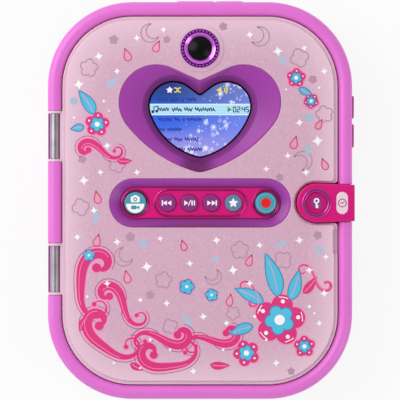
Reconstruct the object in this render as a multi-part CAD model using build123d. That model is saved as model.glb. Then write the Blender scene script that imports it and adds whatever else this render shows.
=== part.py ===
from build123d import *
import os
from math import asin, atan2, cos, degrees, hypot, pi, radians, sin, sqrt, tan

# Electronic secret diary: a bookshelf-sized case with a hinged lid that carries the screen, camera
# and keys. Millimetres. X runs from the hinge to the lock, Y up the front, Z out of the lid.
# The case lies on its back: z = 0 is the plane of its four rubber feet.

# ---- case ----
BODY_W = 184.0            # hinge side to lock side
BODY_H = 240.0
CORNER_R = 51.0
FOOT_H = 1.0              # how far the feet stand below the back
WALL_T = 2.0
SHEET_T = 1.6             # thin moulded walls
BACK_EDGE_R = 5.0         # rounding between the back and the sides
BACK_WALL_H = 8.0         # height of the back cover's side wall
RIM_T = 8.5               # thickness of the half-round rim
CROWN_R = RIM_T / 2 - 0.05
LINER_TOP = 24.5          # height of the book's inner floor
LEDGE_W = 3.0             # shelf inside the rim that carries the liner
FIT = 0.3                 # gap between pieces that only lie side by side
RUN = 0.05                # radial running clearance of a shaft
BACK_Z = FOOT_H
FLOOR_Z = BACK_Z + WALL_T
SPLIT_Z = BACK_Z + BACK_WALL_H
LEDGE_TOP = LINER_TOP - SHEET_T
LEDGE_Z = LEDGE_TOP - SHEET_T
HALF_W, HALF_H = BODY_W / 2, BODY_H / 2
MID_Y = HALF_H - 121.5    # line of the keys and the lock

# ---- lid ----
LID_T = 15.2
LID_REST = 0.5            # gap between the closed lid and the liner
LID_GAP = 0.4             # shadow line between rim and lid
LID_WALL = 2.0
PANEL_T = 1.8             # printed panel that stands on the clear frame
PANEL_STEP = 2.2          # clear edge left bare round the panel
LID_INSET = RIM_T + LID_GAP
LID_Z = LINER_TOP + LID_REST
LID_SPLIT_Z = LID_Z + 3.0
PANEL_TOP = LID_Z + LID_T
FLANGE_TOP = PANEL_TOP - PANEL_T
LID_CEILING = FLANGE_TOP - LID_WALL
LID_FLOOR = LID_Z + SHEET_T
RIM_TOP = PANEL_TOP - 0.2
LID_POST_Z = LID_SPLIT_Z + 1.8                   # where the lid's screw posts meet

# ---- hinge ----
HINGE_X = -HALF_W + RIM_T / 2
HINGE_Z = RIM_TOP - CROWN_R
STRAIGHT_Y = HALF_H - CORNER_R                   # where the corners start
UPPER_GAP_END, UPPER_GAP_L = 14.5, 31.3          # from the corner's start, and length
LOWER_GAP_END, LOWER_GAP_L = 11.7, 31.8
HINGE_GAPS = [
    (STRAIGHT_Y - UPPER_GAP_END - UPPER_GAP_L, STRAIGHT_Y - UPPER_GAP_END),
    (-STRAIGHT_Y + LOWER_GAP_END, -STRAIGHT_Y + LOWER_GAP_END + LOWER_GAP_L),
]
PIN_R = 2.9               # bright sleeve seen in the gaps
JOURNAL_R = 1.5
JOURNAL_L = 6.0           # length held in the rim on each side
EAR_R = 4.1
EAR_T = 1.6
LUG_DROP = EAR_R - 0.4    # how far the lug's web reaches below the axis
GAP_R = hypot(RIM_T / 2, LUG_DROP) + 0.165       # trough that the ears and web turn in

# ---- heart screen ----
# lobe centre x and y, lobe radius, cleft y, angle where the side arc takes over, tip y, tip radius
HEART_BOWL = (26.3, HALF_H - 60.6, 22.5, HALF_H - 47.8, 38.0, HALF_H - 103.1, 9.0)
HEART_SCREEN = (16.1, HALF_H - 62.8, 15.3, HALF_H - 55.7, 20.0, HALF_H - 94.4, 7.5)
CLEFT_R = 2.5
SCREEN_WALL = 3.4         # width of the steep band round the screen
SCREEN_MARGIN = 1.0       # dark edge left round the picture
BEZEL_T = 1.8
BOWL_EDGE_Z = PANEL_TOP - 0.3
BOWL_STEP_Z = PANEL_TOP - 3.0
SCREEN_Z = PANEL_TOP - 6.6                       # top of the screen window
WINDOW_T = 1.0
WINDOW_LAP = 3.0          # how far window and gasket reach behind the bezel
GASKET_T = 0.6
DISPLAY = (70.0, 53.0, 2.6)
DISPLAY_Y = HEART_SCREEN[5] - 2.8
DISPLAY_Z = SCREEN_Z - WINDOW_T - GASKET_T - DISPLAY[2]

# ---- camera ----
CAMERA_Y = HALF_H - 28.2
RING_R = 11.7
RING_STUDS = 32
STUD_R, STUD_H = 0.74, 0.5
DOME_R = 7.0
COLLAR_R = 14.4
RING_TOP = PANEL_TOP + 1.8
LENS_R = 4.5
CAMERA_BOX = 14.0

# ---- keys ----
PLATE_L, PLATE_H = 95.8, 18.5
BOWL_L, BOWL_H = PLATE_L + 13.4, PLATE_H + 10.7
KEY_DEPTH = 2.8           # from the panel down to the key plate
PLATE_T = 2.0
KEY_RISE = 1.5
KEY_TRAVEL = 1.0
KEY_LIP = 0.6             # how far a key's foot reaches under the plate
KEY_FOOT_T = 0.8
KEYS = {
    "camera_key": (-39.1, 6.6),
    "previous_key": (-19.7, 5.1),
    "play_key": (-6.5, 5.1),
    "next_key": (6.8, 5.1),
    "star_key": (20.1, 5.1),
    "record_key": (39.8, 6.4),
}
KEY_HOLE_GAP = 0.25
KEY_RING_GAP = 1.9        # from a large key's edge to the outside of its ring
KEY_RING_T, KEY_RING_H = 1.5, 0.7
STADIUM_L, STADIUM_H, STADIUM_T = 56.5, 17.0, 1.2
BOARD_T = 1.2
MAT_T = 2.0
PLATE_TOP = PANEL_TOP - KEY_DEPTH
PLATE_Z = PLATE_TOP - PLATE_T
FOOT_TOP = PLATE_Z - FIT                          # top of the keys' feet
MAT_TOP = FOOT_TOP - KEY_FOOT_T - KEY_TRAVEL - 0.1
BOARD_Z = MAT_TOP - MAT_T - BOARD_T
BOARD_X = 54.0
BOARD_Y = (-HALF_H + 58.0, MID_Y + 14.5)
MAT_L, MAT_W = PLATE_L - 4, PLATE_H - 2
CHIP_Y = (BOARD_Y[0] + MID_Y - MAT_W / 2) / 2       # chips lie between the mat and the board's edge

# ---- lock ----
LOCK_REACH = 33.7         # from the lock side to the tip of the round end
LOCK_R = 11.9
LOCK_X = HALF_W - LOCK_REACH + LOCK_R
LOCK_END_X = HALF_W + 1.3
LOCK_END_H = 21.9
LOCK_RISE = 2.3
LOCK_WALL = 1.8
LOCK_TOP = PANEL_TOP + LOCK_RISE
LOCK_Z = LINER_TOP - 2.5
NOTCH_GAP = 0.5
FINGER_LIFT = (HALF_W - 11.9, (MID_Y - LOCK_R - 19.0, MID_Y - LOCK_R - 3.7))    # x of its back, y span
FINGER_FLOOR = FLANGE_TOP - 1.5
UNLOCK_R = 6.4
LOCK_RING = (8.75, 6.75, 0.7)                     # outer and inner radius, height
CLOCK_X = LOCK_END_X - 7.6
CLOCK_W, CLOCK_H = 7.2, 13.7
CLOCK_TRAVEL = 0.8
BUTTON_FOOT = LOCK_TOP - LOCK_WALL - FIT
BUTTON_FOOT_T = 1.2
LOCK_BOARD_Z = LOCK_TOP - 6.7
LOCK_POSTS = [(LOCK_X + 7.6, MID_Y + 7.1), (LOCK_X + 7.6, MID_Y - 7.1)]
BOLT_Z = LID_SPLIT_Z + 2.6
BOLT_T = 2.8
BOLT_W = 8.0
BOLT_TRAVEL = 3.5
GEAR_MODULE = 0.8
PINION_TEETH = 10
PINION_R = GEAR_MODULE * PINION_TEETH / 2
PINION_X, PINION_Y = HALF_W - 14.0, MID_Y + 4.2
BOLT_HEEL = PINION_X - 6.3                        # where the bolt's plate ends and its arm starts
RACK_Y = PINION_Y - PINION_R                      # pitch line of the rack
CHASSIS_TOP = BOLT_Z - FIT
CHASSIS_T = 2.0
CHASSIS_LEG_R = 2.0
MOTOR_R, MOTOR_L = 4.5, 15.0

# ---- side keys and sockets ----
SIDE_KEYS = {"volume_up_key": (MID_Y + 58.05, 13.7), "volume_down_key": (MID_Y + 40.65, 14.3)}
SIDE_KEY_Z = RIM_TOP - 9.2
SIDE_KEY_H = 8.0
SIDE_PROUD = 1.2
SIDE_TRAVEL = 0.5
SIDE_GAP = 0.25
COVERS = {"headphone_cover": (-14.4, 9.0), "usb_cover": (9.6, 26.5)}
PORT_BOARD_Z = SPLIT_Z + 2.0
COVER_Z = PORT_BOARD_Z + BOARD_T + 3.6
COVER_H = 7.2
COVER_T = 1.5             # part of the pad that lies in the wall
COVER_PROUD = 1.8
PORT_WALL_T = 4.0

# ---- inside the case ----
PEN_R = 4.2
PEN_GAP = 0.4
PEN_L = 138.0
PEN_CAP_L = 48.0
PEN_X = (-PEN_L / 2 - 3, PEN_L / 2 - 3)
PEN_Y = HALF_H - 64.0
PEN_Z = LINER_TOP - 0.3 - PEN_R
EDGE_IN = RIM_T + LEDGE_W                         # from the outside to the ledge's inner edge
PAD_X, PAD_Y = (-HALF_W + EDGE_IN + 5.5, 20.0), (-HALF_H + EDGE_IN + 17.5, PEN_Y - 8)
PAD_R = 12.0
PAD_T = 11.3
PAD_FLOOR = LINER_TOP - 0.4 - PAD_T
POST_R = 3.0
POST_X = PAD_X[1] + 5.25                          # screw post between notepad and compartment
TRAY_X = (PAD_X[1] + 10, HALF_W - EDGE_IN - 4.5)
TRAY_Y = (-HALF_H + EDGE_IN + 18.5, MID_Y - 22.5)
TRAY_R = 10.0
TRAY_FLOOR = FLOOR_Z + 3.0
SCOOP_R = 11.5
CASE_SCREWS = [
    (-HALF_W + 26, HALF_H - 32), (HALF_W - 26, HALF_H - 32), (-40, -HALF_H + 18), (40, -HALF_H + 18),
    (POST_X, -HALF_H + 62), (HALF_W - 46, MID_Y - 4.5),
]
LID_SCREWS = [
    (-HALF_W + 28, HALF_H - 41), (HALF_W - 28, HALF_H - 41), (-HALF_W + 20, MID_Y - 22.5),
    (HALF_W - 24, MID_Y - 36.5), (-48, -HALF_H + 24), (48, -HALF_H + 24),
]
SCREW_R = 1.5
SCREW_HEAD_R = 2.8
SCREW_HEAD_T = 1.6
FEET = [(sx * (HALF_W - 16), sy * (STRAIGHT_Y - 7)) for sx in (-1, 1) for sy in (-1, 1)]
FOOT_R = 6.0
FOOT_SEAT = 0.6
REST_PADS = [(sx * (HALF_W - 15), sy * (STRAIGHT_Y - 3)) for sx in (-1, 1) for sy in (-1, 1)]
SPEAKER = (HALF_W - 32, MID_Y + 35.5)
SPEAKER_R = 18.0
CELL_R = 7.15
CELL_L = 48.9
CELL_NUB = 1.3
CONTACT_T = 0.5
SPRING_L = 4.0
BAY_X = CELL_L + CELL_NUB + (SPRING_L + 2 * CONTACT_T + 0.6) / 2     # half-length of the battery bay
BAY_Y = (HALF_H - 54.5, HALF_H - 54.5 + 4 * CELL_R + 4.4)
DOOR_T = 1.7
DOOR_X = BAY_X + 5.7
DOOR_Y = (BAY_Y[0] - 4.2, BAY_Y[1] + 4.2)
DOOR_TAB = (15.0, 5.0)
CELL_Z = BACK_Z + DOOR_T + FIT + CELL_R
BAY_TOP = CELL_Z + CELL_R + 1.7
TONGUES = (-35, 35)
TONGUE_W = 8.0
DOOR_SCREW = (0, DOOR_Y[1] + 1.6)
BOSS_TOP = LEDGE_Z - 9                            # where bosses and posts meet
RIB_STEP = 24.0
RIB_COUNT = int((BAY_Y[0] - PAD_Y[0] - 30) // RIB_STEP)
RIB_ROWS = [PAD_Y[0] + 20 + RIB_STEP * i for i in range(RIB_COUNT)]
PORT_POSTS = (-16, 26)


# ---- shape helpers ----
def block(x, y, z):
    """Box from three (low, high) pairs."""
    size = Box(x[1] - x[0], y[1] - y[0], z[1] - z[0])
    return Pos(sum(x) / 2, sum(y) / 2, sum(z) / 2) * size


def disc(x, y, radius, low, high):
    return Pos(x, y, (low + high) / 2) * Cylinder(radius, high - low)


def tube(x, y, outer, inner, low, high):
    return disc(x, y, outer, low, high) - disc(x, y, inner, low - 1, high + 1)


def rod(axis, start, end, radius, across, height):
    """Cylinder along X or Y; across is the other level coordinate."""
    middle, length = (start + end) / 2, end - start
    if axis == "X":
        return Pos(middle, across, height) * Rot(0, 90, 0) * Cylinder(radius, length)
    return Pos(across, middle, height) * Rot(90, 0, 0) * Cylinder(radius, length)


def prism(face, low, high):
    return Pos(0, 0, low) * extrude(face, high - low, dir=(0, 0, 1))


def pocket(x, y, radius, low, high):
    """Rounded-rectangle prism from (low, high) pairs."""
    face = Pos(sum(x) / 2, sum(y) / 2) * RectangleRounded(x[1] - x[0], y[1] - y[0], radius)
    return prism(face, low, high)


def grown(pair, by):
    return (pair[0] - by, pair[1] + by)


def case_slab(inset, low, high):
    """Slab with the case's outline, moved in by inset."""
    face = RectangleRounded(BODY_W - 2 * inset, BODY_H - 2 * inset, CORNER_R - inset)
    return prism(face, low, high)


def stadium(length, height, low, high, x=0.0, y=MID_Y):
    return prism(Pos(x, y) * SlotOverall(length, height), low, high)


def round_top(solid, radius):
    return fillet(solid.edges().group_by(Axis.Z)[-1], radius)


def polar(x, y, radius, angle):
    return (x + radius * cos(radians(angle)), y + radius * sin(radians(angle)))


def heart_face(spec, grow=0.0):
    """Heart outline: straight from the cleft to the lobe, lobe arc, flat side arc, round tip.

    grow moves every line and arc outwards by the same distance.
    """
    cx, cy, lobe, cleft, turn, tip, tip_r = spec
    slope = degrees(atan2(cy - cleft, cx) + asin(lobe / hypot(cx, cy - cleft)))
    sx, sy = polar(cx, cy, lobe, -turn)
    ux, uy = cos(radians(-turn)), sin(radians(-turn))
    dx, dy = sx, sy - tip
    side = (dx * dx + dy * dy) / (2 * (dx * ux + dy * uy))
    ox, oy = sx - side * ux, sy - side * uy
    lobe, side = lobe + grow, side + grow
    cleft += grow / cos(radians(slope))
    tip = oy - sqrt(side * side - ox * ox)
    leave = slope + 90
    end = degrees(atan2(tip - oy, -ox))
    touch = polar(cx, cy, lobe, leave)
    join = polar(cx, cy, lobe, -turn)
    line = Line((0, cleft), touch)
    lobe_arc = ThreePointArc(touch, polar(cx, cy, lobe, (leave - turn) / 2), join)
    side_arc = ThreePointArc(join, polar(ox, oy, side, (end - turn) / 2), (0, tip))
    half = [line, lobe_arc, side_arc]
    outline = Wire(half + [edge.mirror(Plane.YZ) for edge in half])
    face = Sketch() + Face(outline)
    face = fillet(face.vertices().group_by(Axis.Y)[0], tip_r + grow)
    return fillet([v for v in face.vertices() if abs(v.X) < 0.01], CLEFT_R)


def lock_face(grow=0.0):
    """Lock outline: round end in the lid, slightly tapered arm over the rim."""
    reach = 20.0
    slope = (LOCK_R - LOCK_END_H / 2) / (LOCK_END_X - LOCK_X)
    end_x = LOCK_END_X if grow == 0 else LOCK_END_X + reach
    half_end = LOCK_R - slope * (end_x - LOCK_X) + grow
    arm = Polygon(
        (LOCK_X, MID_Y + LOCK_R + grow),
        (LOCK_X, MID_Y - LOCK_R - grow),
        (end_x, MID_Y - half_end),
        (end_x, MID_Y + half_end),
        align=None,
    )
    return arm + Pos(LOCK_X, MID_Y) * Circle(LOCK_R + grow)


def lid_face(inset, notch, corner=2.0):
    """Lid outline moved in by inset, with the bay for the lock; notch is its gap to the lock."""
    plain = RectangleRounded(BODY_W - 2 * inset, BODY_H - 2 * inset, CORNER_R - inset)
    face = plain - lock_face(notch)
    mouth = face.vertices().filter_by_position(Axis.X, BODY_W / 2 - inset - 0.5, BODY_W / 2)
    mouth = [v for v in mouth if abs(v.Y - MID_Y) < LOCK_R + notch + 1]
    return fillet(mouth, corner)


def cone_screw(x, y, head_low, tip_high):
    """Pan-head screw, head down, standing along Z."""
    head = disc(x, y, SCREW_HEAD_R, head_low, head_low + 1.6)
    head = chamfer(head.edges().group_by(Axis.Z)[0], 0.5)
    slot = block((x - 2.0, x + 2.0), (y - 0.3, y + 0.3), (head_low - 1, head_low + 0.7))
    return head + disc(x, y, SCREW_R, head_low + 1.6, tip_high) - slot


# ---- case ----
def hinge_blocks(low, high, extra):
    """Blocks across the rim at the two hinge gaps, longer than each gap by extra at both ends."""
    x = (-HALF_W - 1, -HALF_W + RIM_T + 0.2)
    return [block(x, (a - extra, b + extra), (low, high)) for a, b in HINGE_GAPS]


def port_window(name, gap, depth):
    """Block where a rubber cover sits in the top wall."""
    x = grown(COVERS[name], gap)
    z = grown((COVER_Z - COVER_H / 2, COVER_Z + COVER_H / 2), gap)
    y = (HALF_H - depth, HALF_H + COVER_PROUD + 1)
    pad = RectangleRounded(x[1] - x[0], z[1] - z[0], 2.0)
    return Pos(sum(x) / 2, sum(y) / 2, COVER_Z) * Rot(90, 0, 0) * extrude(pad, (y[1] - y[0]) / 2, both=True)


def port_holes(gap):
    """Holes (or stubs) for the USB plug, the headphone plug and the memory card."""
    y = (HALF_H - PORT_WALL_T - 1, HALF_H - COVER_T + 0.1)
    usb = block(grown((14.2, 21.8), gap), y, grown((COVER_Z - 1.5, COVER_Z + 1.5), gap))
    card = block(grown((-12.4, -1.4), gap), y, grown((COVER_Z - 0.6, COVER_Z + 0.6), gap))
    jack = rod("Y", y[0], y[1], 1.75 + gap, 4.5, COVER_Z)
    return usb + card + jack


def rim_frame():
    """Channel-section frame with a half-round crown, ledge, hinge bosses and wall openings."""
    ring = case_slab(0, SPLIT_Z, RIM_TOP) - case_slab(RIM_T, SPLIT_Z - 1, RIM_TOP + 1)
    ring = round_top(ring, CROWN_R)
    channel_w = RIM_T - 2 * WALL_T
    channel = case_slab(WALL_T, SPLIT_Z - 1, RIM_TOP - WALL_T)
    channel -= case_slab(WALL_T + channel_w, SPLIT_Z - 2, RIM_TOP)
    channel = round_top(channel, channel_w / 2 - 0.05)
    for solid in hinge_blocks(HINGE_Z - GAP_R - WALL_T, RIM_TOP, JOURNAL_L + 1):
        channel -= solid
    below = case_slab(WALL_T, SPLIT_Z - 1, LEDGE_Z)
    frame = ring - channel - below
    ledge = case_slab(RIM_T - 0.5, LEDGE_Z, LEDGE_TOP)
    frame += ledge - case_slab(RIM_T + LEDGE_W, LEDGE_Z - 1, LEDGE_TOP + 1)
    for a, b in HINGE_GAPS:
        frame -= rod("Y", a, b, GAP_R, HINGE_X, HINGE_Z)
        frame -= rod("Y", a - JOURNAL_L, b + JOURNAL_L, JOURNAL_R, HINGE_X, HINGE_Z)
    for solid in hinge_blocks(HINGE_Z, RIM_TOP + 1, 0):
        frame -= solid
    frame -= prism(lock_face(FIT), LEDGE_Z - 0.1, RIM_TOP + 1)
    for y, length in SIDE_KEYS.values():
        size = (length + 2 * SIDE_GAP, SIDE_KEY_H + 2 * SIDE_GAP)
        frame -= side_key_block(y, *size, (HALF_W - 3.5, HALF_W + 1.5))
    backing = (HALF_H - PORT_WALL_T, HALF_H - WALL_T)
    frame += block((-17.5, 29.5), backing, (SPLIT_Z + 2.3, LEDGE_Z))
    for name in COVERS:
        frame -= port_window(name, SIDE_GAP, COVER_T + FIT)
    return frame - port_holes(0.3)


def side_key_block(y, length, height, x):
    face = RectangleRounded(height, length, 3.0)
    return Pos(x[0], y, SIDE_KEY_Z) * Rot(0, 90, 0) * extrude(face, x[1] - x[0])


def door_face(gap):
    """Battery door outline with the tab that holds its screw."""
    x, y = grown((-DOOR_X, DOOR_X), gap), grown(DOOR_Y, gap)
    plate = Pos(0, sum(y) / 2) * RectangleRounded(x[1] - x[0], y[1] - y[0], 3.0)
    tab_w, tab_h = DOOR_TAB
    tab = Pos(0, DOOR_Y[1] + tab_h + gap - 6) * RectangleRounded(tab_w + 2 * gap, 12, 3.0)
    return plate + tab


def back_cover():
    """Shallow pan with the battery bay, screw bosses, speaker slots and a joining lip."""
    pan = case_slab(0, BACK_Z, SPLIT_Z)
    pan = fillet(pan.edges().group_by(Axis.Z)[0], BACK_EDGE_R)
    pan -= case_slab(WALL_T, FLOOR_Z, SPLIT_Z + 1)
    lip = case_slab(WALL_T - 0.5, SPLIT_Z - 4, SPLIT_Z) + case_slab(WALL_T + 0.2, SPLIT_Z, SPLIT_Z + 2)
    pan += lip - case_slab(WALL_T + 1.4, SPLIT_Z - 5, SPLIT_Z + 3)
    # battery bay, open at the back
    bay_x, ledge_t = (-BAY_X, BAY_X), 1.8
    pan -= prism(door_face(FIT), BACK_Z - 1, FLOOR_Z)
    ledge = block((-DOOR_X - 3, DOOR_X + 3), (DOOR_Y[0] - 3, DOOR_Y[1] + 3), (FLOOR_Z, FLOOR_Z + ledge_t))
    walls = block(grown(bay_x, SHEET_T), grown(BAY_Y, SHEET_T), (FLOOR_Z, BAY_TOP + SHEET_T))
    pan += ledge + walls + disc(*DOOR_SCREW, 5.5, FLOOR_Z, FLOOR_Z + 5)
    pan -= block(bay_x, BAY_Y, (FLOOR_Z - 1, BAY_TOP))
    pan -= disc(*DOOR_SCREW, SCREW_R + 0.25, FLOOR_Z - 1, FLOOR_Z + 4)
    for x in TONGUES:
        slot = (DOOR_Y[0] - 2.4, DOOR_Y[0] + 3.4)
        pan -= block(grown((x, x), TONGUE_W / 2 + 0.5), slot, (FLOOR_Z, FLOOR_Z + ledge_t))
    # bosses that the case screws pass through
    for x, y in CASE_SCREWS:
        pan += disc(x, y, POST_R, BACK_Z + 0.5, BOSS_TOP)
        pan -= disc(x, y, SCREW_HEAD_R + 0.15, BACK_Z - 1, BACK_Z + SCREW_HEAD_T + 0.1)
        pan -= disc(x, y, SCREW_R + 0.1, BACK_Z, LEDGE_Z)
    # speaker seat and slots
    sx, sy = SPEAKER
    pan += tube(sx, sy, SPEAKER_R + SHEET_T, SPEAKER_R + 0.1, BACK_Z + 1, FLOOR_Z + 4)
    for row in range(-2, 3):
        length = 24 - 4 * abs(row)
        pan -= stadium(length, 2.2, BACK_Z - 1, FLOOR_Z + 1, sx, sy + row * 4.6)
    # stiffening ribs beside the notepad pocket and posts of the socket board
    for y in RIB_ROWS:
        pan += block((PAD_X[0], TRAY_X[0] - 4), (y - 0.6, y + 0.6), (FLOOR_Z - 0.5, FLOOR_Z + 3))
    for x in PORT_POSTS:
        pan += disc(x, HALF_H - 8.0, 2.4, BACK_Z + 1, PORT_BOARD_Z)
    for x, y in FEET:
        pan -= disc(x, y, FOOT_R + 0.1, BACK_Z - 1, BACK_Z + FOOT_SEAT)
    return pan


def rubber_feet():
    pads = [disc(x, y, FOOT_R, 0, BACK_Z + FOOT_SEAT) for x, y in FEET]
    return [fillet(pad.edges().group_by(Axis.Z)[0], 0.5) for pad in pads]


def battery_door():
    """Flush door that turns on its two tongues; a captive screw holds the tab."""
    top = BACK_Z + DOOR_T
    door = prism(door_face(0), BACK_Z, top)
    for x in TONGUES:
        x = grown((x, x), TONGUE_W / 2)
        door += block(x, (DOOR_Y[0], DOOR_Y[0] + 1.2), (top - 0.5, top + 1.7))
        door += block(x, (DOOR_Y[0] - 1.7, DOOR_Y[0] + 1.2), (top + 0.5, top + 1.7))
    for row in range(3):
        y = DOOR_Y[0] + 5 + 2.6 * row
        door -= block((-9, 9), (y, y + 1.2), (BACK_Z - 1, BACK_Z + 0.5))
    for x in (-BAY_X + 4, BAY_X - 4):
        door += block((x - 0.6, x + 0.6), grown(BAY_Y, -4), (top - 0.5, top + 0.25))
    door -= disc(*DOOR_SCREW, SCREW_HEAD_R + 0.1, BACK_Z - 1, BACK_Z + 0.9)
    return door - disc(*DOOR_SCREW, SCREW_R, BACK_Z, BACK_Z + 3)


def door_screw():
    x, y = DOOR_SCREW
    head = disc(x, y, SCREW_HEAD_R, BACK_Z + 0.1, BACK_Z + 0.9)
    slot = block((x - 2.0, x + 2.0), (y - 0.3, y + 0.3), (BACK_Z - 1, BACK_Z + 0.5))
    return head + disc(x, y, SCREW_R, BACK_Z + 0.9, FLOOR_Z + SCREW_HEAD_T) - slot


def cell_rows():
    """(y, direction of the positive end) of the two battery rows."""
    quarter = (BAY_Y[1] - BAY_Y[0]) / 4
    return [(BAY_Y[0] + quarter, 1), (BAY_Y[1] - quarter, -1)]


def aa_cells():
    cells = []
    for y, way in cell_rows():
        x = way * (BAY_X - CONTACT_T - 0.3)
        for _ in range(2):
            nub_end, can_end, far_end = x, x - way * CELL_NUB, x - way * (CELL_NUB + CELL_L)
            can = rod("X", min(can_end, far_end), max(can_end, far_end), CELL_R, y, CELL_Z)
            nub = rod("X", min(nub_end, can_end), max(nub_end, can_end), 2.75, y, CELL_Z)
            cells.append(can + nub)
            x = far_end
    return cells


def battery_contacts():
    """Nickel plates at both ends of the bay with a conical spring at each negative end."""
    solids = []
    half = CONTACT_T / 2
    for y, way in cell_rows():
        for x in (BAY_X - half, half - BAY_X):
            solids.append(block((x - half, x + half), (y - 5.5, y + 5.5), (CELL_Z - 5.5, CELL_Z + 6.5)))
        spring = Cone(4.2, 2.4, SPRING_L) if way > 0 else Cone(2.4, 4.2, SPRING_L)
        middle = -way * (BAY_X - CONTACT_T - SPRING_L / 2)
        solids.append(Pos(middle, y, CELL_Z) * Rot(0, 90, 0) * spring)
    return solids


def case_screws():
    return [cone_screw(x, y, BACK_Z + 0.1, LEDGE_TOP - 3) for x, y in CASE_SCREWS]


def speaker():
    """Round driver: flange, magnet and cone dish facing the slots."""
    x, y = SPEAKER
    body = disc(x, y, SPEAKER_R, FLOOR_Z, FLOOR_Z + 1.6) + disc(x, y, 13.0, FLOOR_Z + 1.6, FLOOR_Z + 4)
    body += disc(x, y, 9.0, FLOOR_Z + 4, FLOOR_Z + 7)
    dish = Pos(x, y, FLOOR_Z + 1.2) * Cone(SPEAKER_R - 2.5, 5, 2.4)
    return body - dish


def tray_liner():
    """Floor of the book: notepad pocket, treasure compartment, pen channel and screw posts."""
    t, room = SHEET_T, 0.5
    pad_x, pad_y = grown(PAD_X, room), grown(PAD_Y, room)
    pen_x, pen_half = grown(PEN_X, 2.0), PEN_R + PEN_GAP
    scoop_y = (PAD_Y[1] - 3, PEN_Y + pen_half)
    liner = case_slab(RIM_T + FIT, LEDGE_TOP, LINER_TOP)
    liner += pocket(grown(pad_x, t), grown(pad_y, t), PAD_R + room + t, PAD_FLOOR - t, LINER_TOP)
    liner += pocket(grown(TRAY_X, t), grown(TRAY_Y, t), TRAY_R + t, TRAY_FLOOR - t, LINER_TOP)
    liner += rod("X", pen_x[0] - t, pen_x[1] + t, pen_half + t, PEN_Y, PEN_Z)
    liner += rod("Y", scoop_y[0], scoop_y[1] + t, SCOOP_R + t, 0, LINER_TOP + 3)
    for x, y in CASE_SCREWS:
        liner += disc(x, y, POST_R, BOSS_TOP, LEDGE_TOP)
    liner -= case_slab(RIM_T, LINER_TOP, LINER_TOP + 4 + SCOOP_R + t)
    for x, y in REST_PADS:
        liner += disc(x, y, 2.0, LINER_TOP - 0.5, LINER_TOP + LID_REST - 0.2)
    liner -= pocket(pad_x, pad_y, PAD_R + room, PAD_FLOOR, LINER_TOP + 1)
    liner -= pocket(TRAY_X, TRAY_Y, TRAY_R, TRAY_FLOOR, LINER_TOP + 1)
    liner -= rod("X", pen_x[0], pen_x[1], pen_half, PEN_Y, PEN_Z)
    liner -= block(pen_x, grown((PEN_Y, PEN_Y), pen_half), (PEN_Z, LINER_TOP + 2))
    liner -= rod("Y", scoop_y[0], scoop_y[1], SCOOP_R, 0, LINER_TOP + 3)
    for x, y in CASE_SCREWS:
        liner -= disc(x, y, SCREW_R, BOSS_TOP - 1, LEDGE_TOP - 2.8)
    return liner - prism(lock_face(FIT), LEDGE_Z - 1, LINER_TOP + 1)


def notepad_cover():
    """Card cover wrapped round the pages on the hinge side."""
    x, y, z = PAD_X, PAD_Y, (PAD_FLOOR, PAD_FLOOR + PAD_T)
    outer = pocket(x, y, PAD_R, *z)
    return outer - pocket((x[0] + 0.8, x[1] + 20), grown(y, 20), 6.0, z[0] + 0.8, z[1] - 0.8)


def notepad_pages():
    x, y = (PAD_X[0] + 0.8, PAD_X[1] - 1.0), grown(PAD_Y, -1.0)
    return pocket(x, y, PAD_R - 1.0, PAD_FLOOR + 0.8, PAD_FLOOR + PAD_T - 0.8)


def pen_barrel():
    """Barrel with a grooved grip end under the cap and a stepped plug at the tail."""
    split = PEN_X[0] + PEN_CAP_L
    body = rod("X", split, PEN_X[1] - 5, PEN_R - 0.4, PEN_Y, PEN_Z)
    body += rod("X", split - 30, split, PEN_R - 1.2, PEN_Y, PEN_Z)
    for x in (split + 6, PEN_X[1] - 12):
        groove = rod("X", x, x + 1.2, PEN_R, PEN_Y, PEN_Z)
        body -= groove - rod("X", x, x + 1.2, PEN_R - 0.8, PEN_Y, PEN_Z)
    tail = rod("X", PEN_X[1] - 5, PEN_X[1], PEN_R - 0.8, PEN_Y, PEN_Z)
    return body + fillet(tail.edges().group_by(Axis.X)[-1], 1.5)


def pen_cap():
    """Cap with a rounded end and a groove near its mouth."""
    end = PEN_X[0] + PEN_CAP_L
    cap = rod("X", PEN_X[0], end, PEN_R, PEN_Y, PEN_Z)
    cap = fillet(cap.edges().group_by(Axis.X)[0], 2.0)
    cap -= rod("X", end - 30, end + 1, PEN_R - 1.2, PEN_Y, PEN_Z)
    groove = rod("X", end - 4, end - 2.8, PEN_R + 1, PEN_Y, PEN_Z)
    return cap - (groove - rod("X", end - 5, end, PEN_R - 0.4, PEN_Y, PEN_Z))


def hinge_pins():
    """Two pins: bright sleeve in the gap, thinner journals through the lid's ears into the rim."""
    pins = []
    for a, b in HINGE_GAPS:
        pin = rod("Y", a - JOURNAL_L, b + JOURNAL_L, JOURNAL_R, HINGE_X, HINGE_Z)
        sleeve = EAR_T + 2 * FIT
        pins.append(pin + rod("Y", a + sleeve, b - sleeve, PIN_R, HINGE_X, HINGE_Z))
    return pins


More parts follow.
